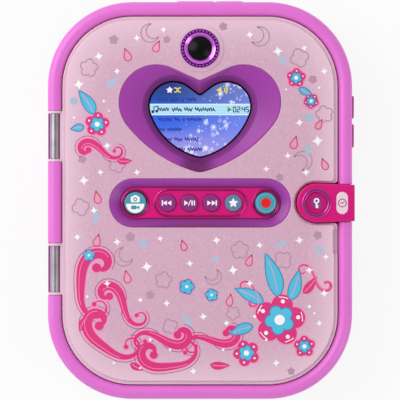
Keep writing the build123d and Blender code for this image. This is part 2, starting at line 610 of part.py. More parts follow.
# ---- lock ----
def lock_housing():
    """Hood over the lock: shell with a round end, holes for both buttons and the bolt's window."""
    hood = prism(lock_face(), LOCK_Z, LOCK_TOP)
    hood = round_top(hood, 1.2)
    inner_end = LOCK_END_X - LOCK_WALL
    inner_half = LOCK_END_H / 2 - LOCK_WALL
    inner = disc(LOCK_X, MID_Y, LOCK_R - LOCK_WALL, LOCK_Z - 1, LOCK_TOP - LOCK_WALL)
    room = (LOCK_Z - 1, LOCK_TOP - LOCK_WALL)
    inner += block((LOCK_X, inner_end), grown((MID_Y, MID_Y), inner_half), room)
    hood -= inner
    hood -= disc(LOCK_X, MID_Y, UNLOCK_R + 0.15, LOCK_Z, LOCK_TOP + 1)
    hood -= clock_shape(0.15, LOCK_Z, LOCK_TOP + 1)
    bolt_y, bolt_z = grown((MID_Y, MID_Y), BOLT_W / 2 + FIT), grown((BOLT_Z, BOLT_Z + BOLT_T), FIT)
    hood -= block((LOCK_X - LOCK_R - 1, LOCK_X), bolt_y, bolt_z)
    for x, y in LOCK_POSTS:
        hood += disc(x, y, 1.3, LOCK_BOARD_Z + BOARD_T, LOCK_TOP - LOCK_WALL)
    return hood


def clock_shape(gap, low, high):
    face = Rot(0, 0, 90) * SlotOverall(CLOCK_H + 2 * gap, CLOCK_W + 2 * gap)
    return prism(Pos(CLOCK_X, MID_Y) * face, low, high)


def lock_ring():
    outer, inner, high = LOCK_RING
    ring = tube(LOCK_X, MID_Y, outer, inner, LOCK_TOP, LOCK_TOP + high)
    return fillet(ring.edges().group_by(Axis.Z)[-1], 0.5)


def unlock_button():
    """Dished push button with a foot under the hood."""
    top, dish_r, dish_depth = LOCK_TOP - 0.3, 38.6, 0.6
    button = round_top(disc(LOCK_X, MID_Y, UNLOCK_R, BUTTON_FOOT - 1, top), 0.5)
    button -= Pos(LOCK_X, MID_Y, top + dish_r - dish_depth) * Sphere(dish_r)
    foot = disc(LOCK_X, MID_Y, UNLOCK_R + 1.0, BUTTON_FOOT - BUTTON_FOOT_T, BUTTON_FOOT)
    return button + foot


def clock_button():
    button = round_top(clock_shape(0, BUTTON_FOOT - 1, LOCK_TOP + 0.2), 0.6)
    return button + clock_shape(0.6, BUTTON_FOOT - BUTTON_FOOT_T, BUTTON_FOOT)


def lock_board():
    """Small board hung under the hood with a switch under each button."""
    half = LOCK_END_H / 2 - LOCK_WALL - 1.4
    x = (LOCK_X - 5, LOCK_END_X - LOCK_WALL - 0.4)
    board = block(x, grown((MID_Y, MID_Y), half), (LOCK_BOARD_Z, LOCK_BOARD_Z + BOARD_T))
    for x, travel in ((LOCK_X, KEY_TRAVEL), (CLOCK_X, CLOCK_TRAVEL)):
        z = (LOCK_BOARD_Z + BOARD_T, BUTTON_FOOT - BUTTON_FOOT_T - travel - 0.1)
        board += block((x - 2.5, x + 2.5), (MID_Y - 2.5, MID_Y + 2.5), z)
    return board


def tooth(width_root, width_tip, root, tip):
    """Trapezoid tooth pointing along +Y, its root at y = root."""
    return Polygon(
        (-width_root / 2, root), (width_root / 2, root), (width_tip / 2, tip), (-width_tip / 2, tip), align=None
    )


def latch_bolt():
    """Flat bolt with a bevelled nose and a rack cut along its arm."""
    nose = LOCK_X - LOCK_R + 0.8
    z = (BOLT_Z, BOLT_Z + BOLT_T)
    plate = block((nose, BOLT_HEEL), grown((MID_Y, MID_Y), BOLT_W / 2), z)
    plate = chamfer(plate.edges().filter_by(Axis.Z).group_by(Axis.X)[0], 1.0)
    addendum, dedendum = 0.75 * GEAR_MODULE, 1.05 * GEAR_MODULE
    arm = block((BOLT_HEEL, PINION_X + 9.5), (MID_Y - BOLT_W / 2, RACK_Y - dedendum), z)
    pitch = pi * GEAR_MODULE
    flank = tan(radians(20))
    half = pitch / 2 - 0.25
    wide, narrow = half + 2 * dedendum * flank, half - 2 * addendum * flank
    shape = tooth(wide, narrow, RACK_Y - dedendum - 0.2, RACK_Y + addendum)
    teeth = [prism(Pos(PINION_X + (i + 0.5) * pitch, 0) * shape, *z) for i in range(-2, 3)]
    bolt = plate + arm
    for one in teeth:
        bolt += one
    return bolt


def lock_pinion():
    """Ten-tooth pinion on the motor shaft; one space faces the rack at rest."""
    addendum, dedendum = 0.75 * GEAR_MODULE, 1.1 * GEAR_MODULE
    z = (BOLT_Z + 0.2, BOLT_Z + BOLT_T + 0.6)
    root = PINION_R - dedendum
    gear = disc(0, 0, root, *z)
    half = pi * GEAR_MODULE / 2 - 0.25
    shape = tooth(half + 0.75, half - 0.62, root - 0.3, PINION_R + addendum)
    for i in range(PINION_TEETH):
        angle = 360 / PINION_TEETH * i
        gear += prism(Rot(0, 0, 180 + angle) * shape, *z)
    gear -= disc(0, 0, 1.0 + RUN, z[0] - 1, z[1] + 1)
    return Pos(PINION_X, PINION_Y, 0) * gear


def lock_motor():
    """Can motor standing under the chassis plate, its shaft up through the pinion."""
    top = CHASSIS_TOP - CHASSIS_T
    can = disc(PINION_X, PINION_Y, MOTOR_R, top - MOTOR_L, top)
    can = fillet(can.edges().group_by(Axis.Z)[0], 1.0)
    return can + disc(PINION_X, PINION_Y, 1.0, top, BOLT_Z + BOLT_T + 1.2)


def lock_chassis():
    """Plate that the bolt slides on, standing on four legs from the back cover."""
    z = (CHASSIS_TOP - CHASSIS_T, CHASSIS_TOP)
    x, y = (LOCK_X - 4.2, HALF_W - 4.2), grown((MID_Y, MID_Y), 8.6)
    leg_x, leg_y = grown(x, -CHASSIS_LEG_R - 0.2), grown(y, -CHASSIS_LEG_R - 0.2)
    plate = block(x, y, z)
    for px in leg_x:
        for py in leg_y:
            plate += disc(px, py, CHASSIS_LEG_R, FLOOR_Z, z[1])
    plate -= disc(PINION_X, PINION_Y, 1.6, z[0] - 1, z[1] + 1)
    guide_y = MID_Y - BOLT_W / 2 - 0.3
    plate += block(x, (guide_y - 1.6, guide_y), (z[1], BOLT_Z + BOLT_T))
    return plate


# ---- sockets and side keys ----
def port_board():
    y = (HALF_H - 14.0, HALF_H - PORT_WALL_T - 0.4)
    return block((-19, 29), y, (PORT_BOARD_Z, PORT_BOARD_Z + BOARD_T))


def port_socket(x, z_top, depth, hole):
    y = (HALF_H - PORT_WALL_T - FIT - depth, HALF_H - PORT_WALL_T - FIT)
    return block(x, y, (PORT_BOARD_Z + BOARD_T, z_top)) - hole


def usb_socket():
    hole = block((14.4, 21.6), (HALF_H - 10, HALF_H), grown((COVER_Z, COVER_Z), 1.4))
    return port_socket((13.6, 22.4), COVER_Z + 2.2, 8.0, hole)


def headphone_jack():
    hole = rod("Y", HALF_H - 12, HALF_H, 1.8, 4.5, COVER_Z)
    return port_socket((1.5, 7.5), COVER_Z + 3.0, 9.0, hole)


def card_socket():
    hole = block((-12.5, -1.3), (HALF_H - 12, HALF_H), grown((COVER_Z, COVER_Z), 0.7))
    return port_socket((-13.7, -0.2), COVER_Z + 1.6, 9.0, hole)


def port_cover(name):
    """Rubber cover: crowned pad outside, stubs that plug the sockets."""
    x, inside_y = COVERS[name], HALF_H - PORT_WALL_T + 0.5
    pad = port_window(name, 0, COVER_T)
    pad &= block(grown(x, 5), (HALF_H - 20, HALF_H + COVER_PROUD), (0, COVER_Z + 20))
    pad = fillet(pad.edges().group_by(Axis.Y)[-1], 0.9)
    stubs = port_holes(-0.15) & block(x, (inside_y, HALF_H), (0, COVER_Z + 20))
    return pad + stubs


def side_key(y, length):
    """Volume key: proud rounded cap and a foot behind the wall."""
    inner = HALF_W - WALL_T - FIT
    cap = side_key_block(y, length, SIDE_KEY_H, (inner - 1, HALF_W + SIDE_PROUD))
    cap = fillet(cap.edges().group_by(Axis.X)[-1], 0.6)
    return cap + side_key_block(y, length + 2, SIDE_KEY_H + 1.6, (inner - 1.5, inner))


def side_key_board():
    wall = HALF_W - RIM_T + WALL_T
    rows = [y for y, _ in SIDE_KEYS.values()]
    z = grown((SIDE_KEY_Z, SIDE_KEY_Z), 4.6)
    board = block((wall + 0.1, wall + 1.1), (min(rows) - 10, max(rows) + 10), z)
    for y in rows:
        board += block((wall + 1.1, wall + 2.0), (y - 2.5, y + 2.5), grown((SIDE_KEY_Z, SIDE_KEY_Z), 2.5))
    return board


# ---- lid ----
def lid_frame():
    """Clear moulding: edge flange, skirt, bay for the lock, hinge ears and screw posts."""
    shell = prism(lid_face(LID_INSET, NOTCH_GAP), LID_SPLIT_Z, FLANGE_TOP)
    shell = round_top(shell, 0.5)
    shell -= prism(lid_face(LID_INSET + LID_WALL, NOTCH_GAP + LID_WALL), LID_SPLIT_Z - 1, LID_CEILING)
    for x, y in LID_SCREWS:
        shell += disc(x, y, POST_R, LID_POST_Z, FLANGE_TOP - 1)
    lift_x, lift_y = FINGER_LIFT
    backing = (lift_x - 2.6, HALF_W - LID_INSET - 0.6)
    shell += block(backing, grown(lift_y, 2.4), (LID_SPLIT_Z, FLANGE_TOP - 0.5))
    shell -= finger_lift(FINGER_FLOOR)
    for opening in lid_openings(LID_SPLIT_Z, FLANGE_TOP + 1):
        shell -= opening
    bolt_y, bolt_z = grown((MID_Y, MID_Y), BOLT_W / 2 + 0.6), grown((BOLT_Z, BOLT_Z + BOLT_T), 0.6)
    shell -= block((LOCK_X - LOCK_R - NOTCH_GAP - LID_WALL - 1.5, LOCK_X - 6), bolt_y, bolt_z)
    for a, b in HINGE_GAPS:
        shell += hinge_lug(a + FIT, b - FIT)
    for x, y in LID_SCREWS:
        shell -= disc(x, y, SCREW_R, LID_SPLIT_Z - 1, LID_CEILING - 0.5)
    return shell


def lid_openings(low, high):
    """Cutters for the bezel, the key bowl and the camera."""
    heart = prism(heart_face(HEART_BOWL, 0.15), low, high)
    keys = stadium(BOWL_L + 0.3, BOWL_H + 0.3, low, high)
    return [heart, keys, disc(0, CAMERA_Y, RING_R + 0.15, low, high)]


def hinge_lug(low, high):
    """Two ears joined by a web that passes beside the bright sleeve."""
    skirt = -HALF_W + LID_INSET + 0.5
    z = (HINGE_Z - LUG_DROP, FLANGE_TOP - 0.6)
    lug = block((HINGE_X + PIN_R + FIT, skirt), (low, high), z)
    for y in ((low, low + EAR_T), (high - EAR_T, high)):
        lug += rod("Y", y[0], y[1], EAR_R, HINGE_X, HINGE_Z)
        lug += block((HINGE_X, skirt), y, z)
    return lug - rod("Y", low - 1, high + 1, JOURNAL_R + RUN, HINGE_X, HINGE_Z)


def finger_lift(low):
    """Cutter for the recess under a fingertip, its inner corners rounded."""
    x, y = FINGER_LIFT
    cutter = block((x, HALF_W - RIM_T + 0.5), y, (low, PANEL_TOP + 1))
    return fillet(cutter.edges().filter_by(Axis.Z).group_by(Axis.X)[0], 1.6)


def front_panel():
    """Printed glitter panel bonded on the clear frame."""
    heart, keys, camera = lid_openings(FLANGE_TOP - 1, PANEL_TOP + 1)
    panel = prism(lid_face(LID_INSET + PANEL_STEP, NOTCH_GAP + 0.9), FLANGE_TOP, PANEL_TOP)
    panel = round_top(panel - heart - keys, 0.6)
    collar = disc(0, CAMERA_Y, COLLAR_R, FLANGE_TOP, PANEL_TOP + 0.5)
    panel += round_top(collar, 0.4)
    return panel - camera - finger_lift(FLANGE_TOP - 1)


def heart_loft(lower, low, upper, high):
    return loft([Pos(0, 0, low) * lower, Pos(0, 0, high) * upper], ruled=True)


def heart_bezel():
    """Two-step funnel round the screen: wide glossy slope, then a steeper wall."""
    rim, mid = heart_face(HEART_BOWL), heart_face(HEART_SCREEN, SCREEN_WALL + BEZEL_T)
    skirt_z, mid_z, foot_z = BOWL_EDGE_Z - 1.9, SCREEN_Z + 1.0, LID_CEILING - 1.2
    body = prism(rim, foot_z, BOWL_EDGE_Z) - prism(heart_face(HEART_BOWL, -BEZEL_T), foot_z - 1, skirt_z)
    body += heart_loft(mid, mid_z, rim, skirt_z)
    body += prism(mid, SCREEN_Z, mid_z)
    step = heart_face(HEART_SCREEN, SCREEN_WALL)
    slope = heart_loft(step, BOWL_STEP_Z, heart_face(HEART_BOWL, -0.7), BOWL_EDGE_Z)
    wall = heart_loft(heart_face(HEART_SCREEN), SCREEN_Z, step, BOWL_STEP_Z)
    flange = prism(heart_face(HEART_BOWL, 1.6), foot_z, LID_CEILING)
    flange -= prism(heart_face(HEART_BOWL, -3.0), foot_z - 1, LID_CEILING + 1)
    return body + flange - slope - wall


def screen_window():
    return prism(heart_face(HEART_SCREEN, WINDOW_LAP), SCREEN_Z - WINDOW_T, SCREEN_Z)


def screen_gasket():
    low = SCREEN_Z - WINDOW_T - GASKET_T
    ring = prism(heart_face(HEART_SCREEN, WINDOW_LAP), low, low + GASKET_T)
    return ring - prism(heart_face(HEART_SCREEN, -SCREEN_MARGIN), low - 1, low + 2)


def display_module():
    """Panel with a metal frame, its face just under the gasket."""
    width, height, thick = DISPLAY
    return block((-width / 2, width / 2), (DISPLAY_Y, DISPLAY_Y + height), (DISPLAY_Z, DISPLAY_Z + thick))


def camera_ring():
    """Bright ring: outer band with eight-sided studs, conical inner band and a flange under the lid."""
    foot, inner = LID_CEILING - 0.6, DOME_R + 0.25
    profile = Polyline(
        (RING_R, foot), (RING_R, RING_TOP - 0.8), (RING_R - 0.3, RING_TOP - 0.5),
        (RING_R - 2.1, RING_TOP - 0.5), (RING_R - 2.3, RING_TOP - 0.7), (inner, RING_TOP - 2.0),
        (inner, foot), (RING_R, foot),
    )
    ring = revolve(make_face(Plane.XZ * profile), Axis.Z)
    stud = extrude(RegularPolygon(STUD_R, 8), STUD_H, dir=(0, 0, 1), taper=38)
    for i in range(RING_STUDS):
        x, y = polar(0, 0, RING_R - 1.2, i * 360 / RING_STUDS)
        ring += Pos(x, y, RING_TOP - 0.5) * stud
    ring += disc(0, 0, RING_R + 1.6, LID_CEILING - 1.2, LID_CEILING) - disc(0, 0, RING_R - 0.5, 0, RING_TOP)
    return Pos(0, CAMERA_Y, 0) * ring


def camera_dome():
    """Black glossy dome over the lens."""
    low, high = RING_TOP - 2.6, RING_TOP + 0.2
    rise = high - low - 0.8
    radius = (DOME_R**2 + rise**2) / (2 * rise)
    return disc(0, CAMERA_Y, DOME_R, low, high) & (Pos(0, CAMERA_Y, high - radius) * Sphere(radius))


def camera_module():
    top, half = LID_CEILING - 0.6 - FIT, CAMERA_BOX / 2
    box = block((-half, half), grown((CAMERA_Y, CAMERA_Y), half), (LID_FLOOR + 2.4, top))
    return box + disc(0, CAMERA_Y, LENS_R, top, RING_TOP - 2.9)


def key_bowl():
    """Funnel round the key plate."""
    low = PLATE_Z - 0.8
    body = stadium(BOWL_L, BOWL_H, low + 0.5, BOWL_EDGE_Z)
    body += stadium(BOWL_L + 2.0, BOWL_H + 3.4, low, LID_CEILING)
    mouth = Pos(0, MID_Y, BOWL_EDGE_Z) * SlotOverall(BOWL_L - 1.2, BOWL_H - 1.2)
    floor = Pos(0, MID_Y, PLATE_TOP - 0.6) * SlotOverall(PLATE_L + 0.4, PLATE_H + 0.4)
    funnel = loft([floor, mouth], ruled=True)
    return body - funnel - stadium(PLATE_L + 0.4, PLATE_H + 0.4, low - 1, PLATE_TOP)


def key_plate():
    """Magenta plate with a pocket under it for the keys' feet."""
    low = PLATE_Z - 0.8
    plate = round_top(stadium(PLATE_L, PLATE_H, low, PLATE_TOP), 0.4)
    plate += stadium(PLATE_L + 3, PLATE_H + 3, low - 0.8, low)
    plate -= stadium(PLATE_L - 1.6, PLATE_H - 3.0, low - 1, PLATE_Z)
    for x, radius in KEYS.values():
        plate -= disc(x, MID_Y, radius + KEY_HOLE_GAP, low, PLATE_TOP + 1)
    return plate


def key_rings():
    """Metallised rings round the two large keys, and a long one round the four small keys."""
    top, outer = PLATE_TOP + KEY_RING_H, KEYS["camera_key"][1] + KEY_RING_GAP
    rings = []
    for name in ("camera_key", "record_key"):
        rings.append(tube(KEYS[name][0], MID_Y, outer, outer - KEY_RING_T, PLATE_TOP, top))
    middle = sum(KEYS[n][0] for n in ("previous_key", "star_key")) / 2
    inner = 2 * STADIUM_T
    band = stadium(STADIUM_L, STADIUM_H, PLATE_TOP, top, middle)
    rings.append(band - stadium(STADIUM_L - inner, STADIUM_H - inner, PLATE_TOP - 1, top + 1, middle))
    return [round_top(ring, 0.45) for ring in rings]


def lid_key(x, radius):
    """Push key: cap with a softened edge and a foot that stops under the plate."""
    cap = round_top(disc(x, MID_Y, radius, FOOT_TOP - 0.5, PLATE_TOP + KEY_RISE), 0.6)
    return cap + disc(x, MID_Y, radius + KEY_LIP, FOOT_TOP - KEY_FOOT_T, FOOT_TOP)


def key_mat():
    """Silicone sheet on the board, under all the keys' feet."""
    return stadium(MAT_L, MAT_W, MAT_TOP - MAT_T, MAT_TOP)


def main_board():
    """Board under the keys and the lower lid, with its chips."""
    top = BOARD_Z + BOARD_T
    board = block((-BOARD_X, BOARD_X), BOARD_Y, (BOARD_Z, top))
    for x, size in ((-14, 12), (12.5, 9), (33.5, 7)):
        board += block(grown((x, x), size / 2), grown((CHIP_Y, CHIP_Y), size / 2), (top, top + 1.2))
    return board


def microphone():
    return disc(46, CHIP_Y, 3.0, BOARD_Z + BOARD_T, BOARD_Z + BOARD_T + 2.2)


def lid_back_shell():
    """Inner face of the lid: pan with board posts, screw holes and a shallow recessed field."""
    shell = prism(lid_face(LID_INSET, NOTCH_GAP), LID_Z, LID_SPLIT_Z)
    shell = fillet(shell.edges().group_by(Axis.Z)[0], 0.8)
    shell -= prism(lid_face(LID_INSET + LID_WALL, NOTCH_GAP + LID_WALL), LID_FLOOR, LID_SPLIT_Z + 1)
    posts = [(x, y, BOARD_Z) for x in (-BOARD_X + 4, 0, BOARD_X - 4) for y in grown(BOARD_Y, -4)]
    posts += [(x, y, DISPLAY_Z) for x in (-30, 30) for y in (DISPLAY_Y + 3.4, DISPLAY_Y + 48.4)]
    for x, y, top in posts:
        shell += disc(x, y, 2.5, LID_FLOOR - 0.5, top)
    shell += disc(0, CAMERA_Y, 5.0, LID_FLOOR - 0.5, LID_FLOOR + 2.4)
    for x, y in LID_SCREWS:
        shell += disc(x, y, POST_R + 0.8, LID_FLOOR - 0.5, LID_POST_Z)
        shell -= disc(x, y, SCREW_HEAD_R + 0.2, LID_Z - 1, LID_Z + 1.8)
        shell -= disc(x, y, SCREW_R + 0.1, LID_Z, LID_POST_Z + 1)
    field = case_slab(LID_INSET + 32, LID_Z - 1, LID_Z + 0.5)
    return shell - field


def lid_screws():
    return [cone_screw(x, y, LID_Z + 0.2, LID_CEILING - 1) for x, y in LID_SCREWS]


def save(name, shape):
    solids = shape if isinstance(shape, list) else [shape]
    parts = [solid for item in solids for solid in item.solids()]
    body = parts[0] if len(parts) == 1 else Compound(children=parts)
    export_step(body, f"parts/{name}.step")


os.makedirs("parts", exist_ok=True)
SINGLE = [
    rim_frame, back_cover, rubber_feet, battery_door, door_screw, aa_cells, battery_contacts, case_screws,
    speaker, tray_liner, notepad_cover, notepad_pages, pen_barrel, pen_cap, hinge_pins, lock_housing,
    lock_ring, unlock_button, clock_button, lock_board, latch_bolt, lock_pinion, lock_motor, lock_chassis,
    port_board, usb_socket, headphone_jack, card_socket, side_key_board, lid_frame, front_panel,
    heart_bezel, screen_window, screen_gasket, display_module, camera_ring, camera_dome, camera_module,
    key_bowl, key_plate, key_rings, key_mat, main_board, microphone, lid_back_shell, lid_screws,
]
for make in SINGLE:
    save(make.__name__, make())
for name, (x, radius) in KEYS.items():
    save(name, lid_key(x, radius))
for name in COVERS:
    save(name, port_cover(name))
for name, (y, length) in SIDE_KEYS.items():
    save(name, side_key(y, length))
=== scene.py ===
"""Looks of an electronic secret diary: a book-shaped case with a heart screen in its lid.

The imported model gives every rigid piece. This file gives those pieces their finishes, and adds
what is printed, wound or shown on them: the garland on the lid, the symbols on the keys, the
picture on the screen, the battery springs and the bands on the cells.
Lengths are in millimetres until a mesh is made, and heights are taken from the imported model.
"""

import bmesh
import bpy
import numpy as np
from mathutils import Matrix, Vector


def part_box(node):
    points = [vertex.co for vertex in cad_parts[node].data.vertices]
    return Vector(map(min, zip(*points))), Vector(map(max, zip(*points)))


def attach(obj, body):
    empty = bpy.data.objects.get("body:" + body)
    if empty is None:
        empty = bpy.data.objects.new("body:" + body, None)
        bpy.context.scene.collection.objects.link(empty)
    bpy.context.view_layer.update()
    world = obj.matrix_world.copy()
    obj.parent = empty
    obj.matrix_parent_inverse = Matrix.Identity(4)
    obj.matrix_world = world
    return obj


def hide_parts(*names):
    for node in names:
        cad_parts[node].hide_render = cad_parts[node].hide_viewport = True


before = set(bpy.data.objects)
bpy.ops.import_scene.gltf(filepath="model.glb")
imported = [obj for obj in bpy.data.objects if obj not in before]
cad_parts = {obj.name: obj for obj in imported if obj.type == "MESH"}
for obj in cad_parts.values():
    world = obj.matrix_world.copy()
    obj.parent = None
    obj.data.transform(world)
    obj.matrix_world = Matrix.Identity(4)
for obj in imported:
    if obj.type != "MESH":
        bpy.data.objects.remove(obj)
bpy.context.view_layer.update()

MM = 0.001

# ---- picture frame ----
VIEW_WIDTH = 241.2        # what the picture's width covers at the lid's face
CAMERA_HEIGHT = 1600.0
CAMERA_Y = 0.3            # the picture's middle is this far above the lid's
SENSOR = 36.0
FAR = 20.0                # metres; the camera sees no further
FLOOR_HALF = 3.0          # metres

# ---- printing: heights over the surface; each shape lies a hair higher than the last ----
INK_BASE = -0.02
INK_STEP = 0.0012
FAINT, HALO, ECHO, STEM, LEAF, PETAL, DETAIL = 0.008, 0.02, 0.05, 0.075, 0.10, 0.125, 0.145
VEIN, GLINT = DETAIL + 0.02, DETAIL + 0.03
KEY_INK, KEY_DETAIL = 0.04, 0.06
COLLAR_RISE = 0.5         # how far the camera's collar stands above the panel

# ---- garland ----
SCROLL_STEPS = 72
SCROLL_TIP = 0.6          # width at the thin ends
ROUND_ENDS = ((0, 0.42), (-1, 0.22))    # first and last point, and the radius there as a share of the width
HALO_EDGE = 1.1           # how much wider a scroll's pale edge is than the scroll
LEAF_EDGE = 0.8           # pale edge round leaves and blossoms
ECHO_GAP = 1.5            # between a scroll and the line that follows it
LEAF_BEND = 0.18          # how far a leaf's spine drifts, as a share of its length
HEART = (0.58, 36)        # a blossom's heart: its share of the blossom, and its turn into the gaps
DRAWN = 0.8               # lines of the drops and the faint outlines

# ---- display ----
PICTURE, ROW, SIGN = 0.03, 0.05, 0.07    # heights over the display module
ROW_PITCH = 6.05
BAR_Y = 55.2              # the chosen row
TITLE_X = -25.3           # where titles start
LINE_WIDTH = 0.55         # strokes of the titles, numbers and signs

# ---- battery bay ----
PLATE_THICK, PLATE_HALF = 0.5, 5.5    # half its width
CELL_LENGTH = 50.2        # from one cell in a row to the next
SHOULDER = 1.6            # from a contact plate to the end of a cell's jacket
BAND_FROM, BAND_TO = 0.6, 12.0    # along the cell from there
SPRING_TURNS = 4.5
SPRING_WIRE = 0.35
SPRING_FOOT, SPRING_TIP, SPRING_REACH = 4.0, 2.4, 3.4    # radius at the plate and at the cell, length


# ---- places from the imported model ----
def box_mm(node):
    low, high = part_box(node)
    return np.array(low) / MM, np.array(high) / MM


def centre(node):
    low, high = box_mm(node)
    return (low + high) / 2


def top(node):
    return box_mm(node)[1][2]


def level(height):
    """Ground at one height, for what is printed on a flat face."""
    return lambda flat: np.full(len(flat), height)


# ---- outlines and paths ----
def around(count):
    return np.linspace(0, 2 * np.pi, count, endpoint=False)


def polar(radius, angle):
    return np.column_stack([radius * np.cos(angle), radius * np.sin(angle)])


def circle(radius, count=40):
    return polar(radius, around(count))


def superellipse(power):
    """Outline of |x|^p + |y|^p = 1: a star with a power under one, a rounded square with a high one."""
    angle = around(40)
    reach = np.abs(np.cos(angle)) ** power + np.abs(np.sin(angle)) ** power
    return polar(reach ** (-1 / power), angle)


def bar(width, height, power=6.0):
    return superellipse(power) * (width / 2, height / 2)


def blossom(radius, petals=5, depth=0.3):
    """Circle whose radius swells once for each petal."""
    angle = around(petals * 14)
    return polar(radius * (1 - depth + depth * np.abs(np.cos(petals * angle / 2)) ** 0.8), angle)


def star(radius, inner):
    """Five-point star: ten points, every second one drawn in."""
    angle = around(10) + np.pi / 2
    return polar(radius * np.where(np.arange(10) % 2, inner, 1.0), angle)


def leaf(length, width):
    """Leaf from its stalk at the origin to its tip on +x: half-width is a skewed sine of the length."""
    u = np.linspace(0, 1, 17)
    half = width / 2 * np.sin(np.pi * u ** 0.75) ** 0.9
    spine = LEAF_BEND * length * u ** 2
    upper = np.column_stack([u * length, spine + half])
    lower = np.column_stack([u * length, spine - half])[-2:0:-1]
    return np.concatenate([upper, lower])


def drop(radius):
    """Drop with its point up: a circle drawn in towards the top by the sine of half the angle."""
    angle = around(36)
    return radius * np.column_stack([np.sin(angle) * np.sin(angle / 2) ** 1.5, 1.25 * np.cos(angle)])


def moon(radius):
    """Crescent: the long arc of one circle, closed by the arc of a second one between the same horns."""
    horn, shift = np.radians(52), 0.42
    outer = np.linspace(horn, 2 * np.pi - horn, 34)
    tip = np.array([np.cos(horn), np.sin(horn)])
    inner_r = np.hypot(tip[0] - shift, tip[1])
    inner_horn = np.arctan2(tip[1], tip[0] - shift)
    inner = np.linspace(2 * np.pi - inner_horn, inner_horn, 28)[1:-1]
    return radius * np.concatenate([polar(1, outer), polar(inner_r, inner) + (shift, 0)])


def arc(radius, start, end, count):
    return polar(radius, np.radians(np.linspace(start, end, count)))


def scroll(x, y, heading, length, turn, mirror):
    """Scroll through a middle point: its heading bends away from there by turn times a power of the way.

    With mirror 1 both ends curl to the same side, as in a C; with -1 to opposite sides, as in an S.
    """
    u = np.linspace(-1, 1, SCROLL_STEPS)
    bend = np.abs(u) ** 2.2 * np.where(u < 0, -mirror, 1)
    angle = np.radians(heading + turn * bend)
    path = np.cumsum(polar(1, angle) * length / SCROLL_STEPS, axis=0)
    return path - path[SCROLL_STEPS // 2] + (x, y)


def swelling(width):
    """Width along a scroll: a raised sine of a root of the way, widest before the middle."""
    u = np.linspace(0, 1, SCROLL_STEPS)
    return SCROLL_TIP + (width - SCROLL_TIP) * np.sin(np.pi * u ** 0.55) ** 1.6


def placed(flat, x, y, turn=0.0, scale=1.0):
    """Outline turned by degrees about its origin, scaled, and carried to a place."""
    c, s = np.cos(np.radians(turn)), np.sin(np.radians(turn))
    return scale * flat @ np.array([[c, s], [-s, c]]) + (x, y)


def sideways(path, closed=False):
    """Unit vectors square to a path, from the step between the points on each side."""
    ahead = np.roll(path, -1, 0) - np.roll(path, 1, 0)
    if not closed:
        ahead[0], ahead[-1] = path[1] - path[0], path[-1] - path[-2]
    length = np.maximum(np.linalg.norm(ahead, axis=1, keepdims=True), 1e-9)
    return np.column_stack([ahead[:, 1], -ahead[:, 0]]) / length


def grown(outline, by):
    """Outline moved outwards square to itself; it runs anticlockwise, so its outside is at the right."""
    return outline + sideways(outline, closed=True) * by


def echo(path, width, mirror):
    """Line that follows the outer side of a scroll; on an S it slips under the middle to the other side."""
    u = np.linspace(-1, 1, len(path))
    side = np.ones_like(u) if mirror > 0 else np.tanh(7 * u)
    return (path + sideways(path) * (side * (width / 2 + ECHO_GAP))[:, None])[6:-6]


def crest(path, width):
    """Line of light along the thick part of a scroll, a fifth of its width to the side."""
    path, width = path[10:46], width[10:46]
    return path + sideways(path) * width[:, None] * 0.2


# ---- closed shapes: (points, faces) ----
def grid_faces(rows, columns, wrap=False):
    """Quads of a grid of points whose columns close on themselves; wrap closes its rows too."""
    r = np.arange(rows if wrap else rows - 1)[:, None]
    c = np.arange(columns)[None, :]
    r2, c2 = (r + 1) % rows, (c + 1) % columns
    quads = [r * columns + c, r * columns + c2, r2 * columns + c2, r2 * columns + c]
    return np.stack(quads, -1).reshape(-1, 4)


def filled(outline, ground, high):
    """Plate with a given outline: a wall round it, and a fan from its middle above and below."""
    n = len(outline)
    flat = np.concatenate([outline, outline.mean(0, keepdims=True)])
    height = ground(flat)
    points = np.concatenate([np.column_stack([flat, height + z]) for z in (INK_BASE, high)])
    i = np.arange(n)
    j, m = (i + 1) % n, n + 1
    walls = np.stack([i, j, j + m, i + m], -1)
    above = np.stack([i + m, j + m, np.full(n, n + m)], -1)
    below = np.stack([j, i, np.full(n, n)], -1)
    return points, [walls, above, below]


def line(path, ground, high, width, closed=False):
    """Band along a path: four corners at each point, half the width to each side, joined by quads."""
    half = sideways(path, closed) * np.broadcast_to(width, len(path))[:, None] / 2
    corners = [(path + half, INK_BASE), (path - half, INK_BASE), (path - half, high), (path + half, high)]
    rings = [np.column_stack([flat, ground(flat) + z]) for flat, z in corners]
    points = np.stack(rings, 1).reshape(-1, 3)
    faces = [grid_faces(len(path), 4, closed)]
    if not closed:
        n = len(points)
        faces.append(np.array([[3, 2, 1, 0], [n - 4, n - 3, n - 2, n - 1]]))
    return points, faces


def stacked(shape, flats, ground, high, **options):
    """The same kind of shape from many outlines, each a hair above the last so that none share a face."""
    return [shape(flat, ground, high + INK_STEP * i, **options) for i, flat in enumerate(flats)]


def bands(paths, widths, ground, high):
    """Bands of changing width, each a hair above the last."""
    rows = enumerate(zip(paths, widths))
    return [line(path, ground, high + INK_STEP * i, width) for i, (path, width) in rows]


def wire(path, radius):
    """Round wire carried along a path in space: a circle square to the path at each point."""
    ahead = np.gradient(path, axis=0)
    ahead /= np.linalg.norm(ahead, axis=1, keepdims=True)
    side = np.cross(ahead, [1.0, 0.013, 0.007])
    side /= np.linalg.norm(side, axis=1, keepdims=True)
    up = np.cross(ahead, side)
    sides = 10
    angle = around(sides)[None, :, None]
    ring = side[:, None] * np.cos(angle) + up[:, None] * np.sin(angle)
    points = (path[:, None] + radius * ring).reshape(-1, 3)
    first = np.arange(sides)
    last = first + len(points) - sides
    return points, [grid_faces(len(path), sides), np.array([first[::-1], last])]


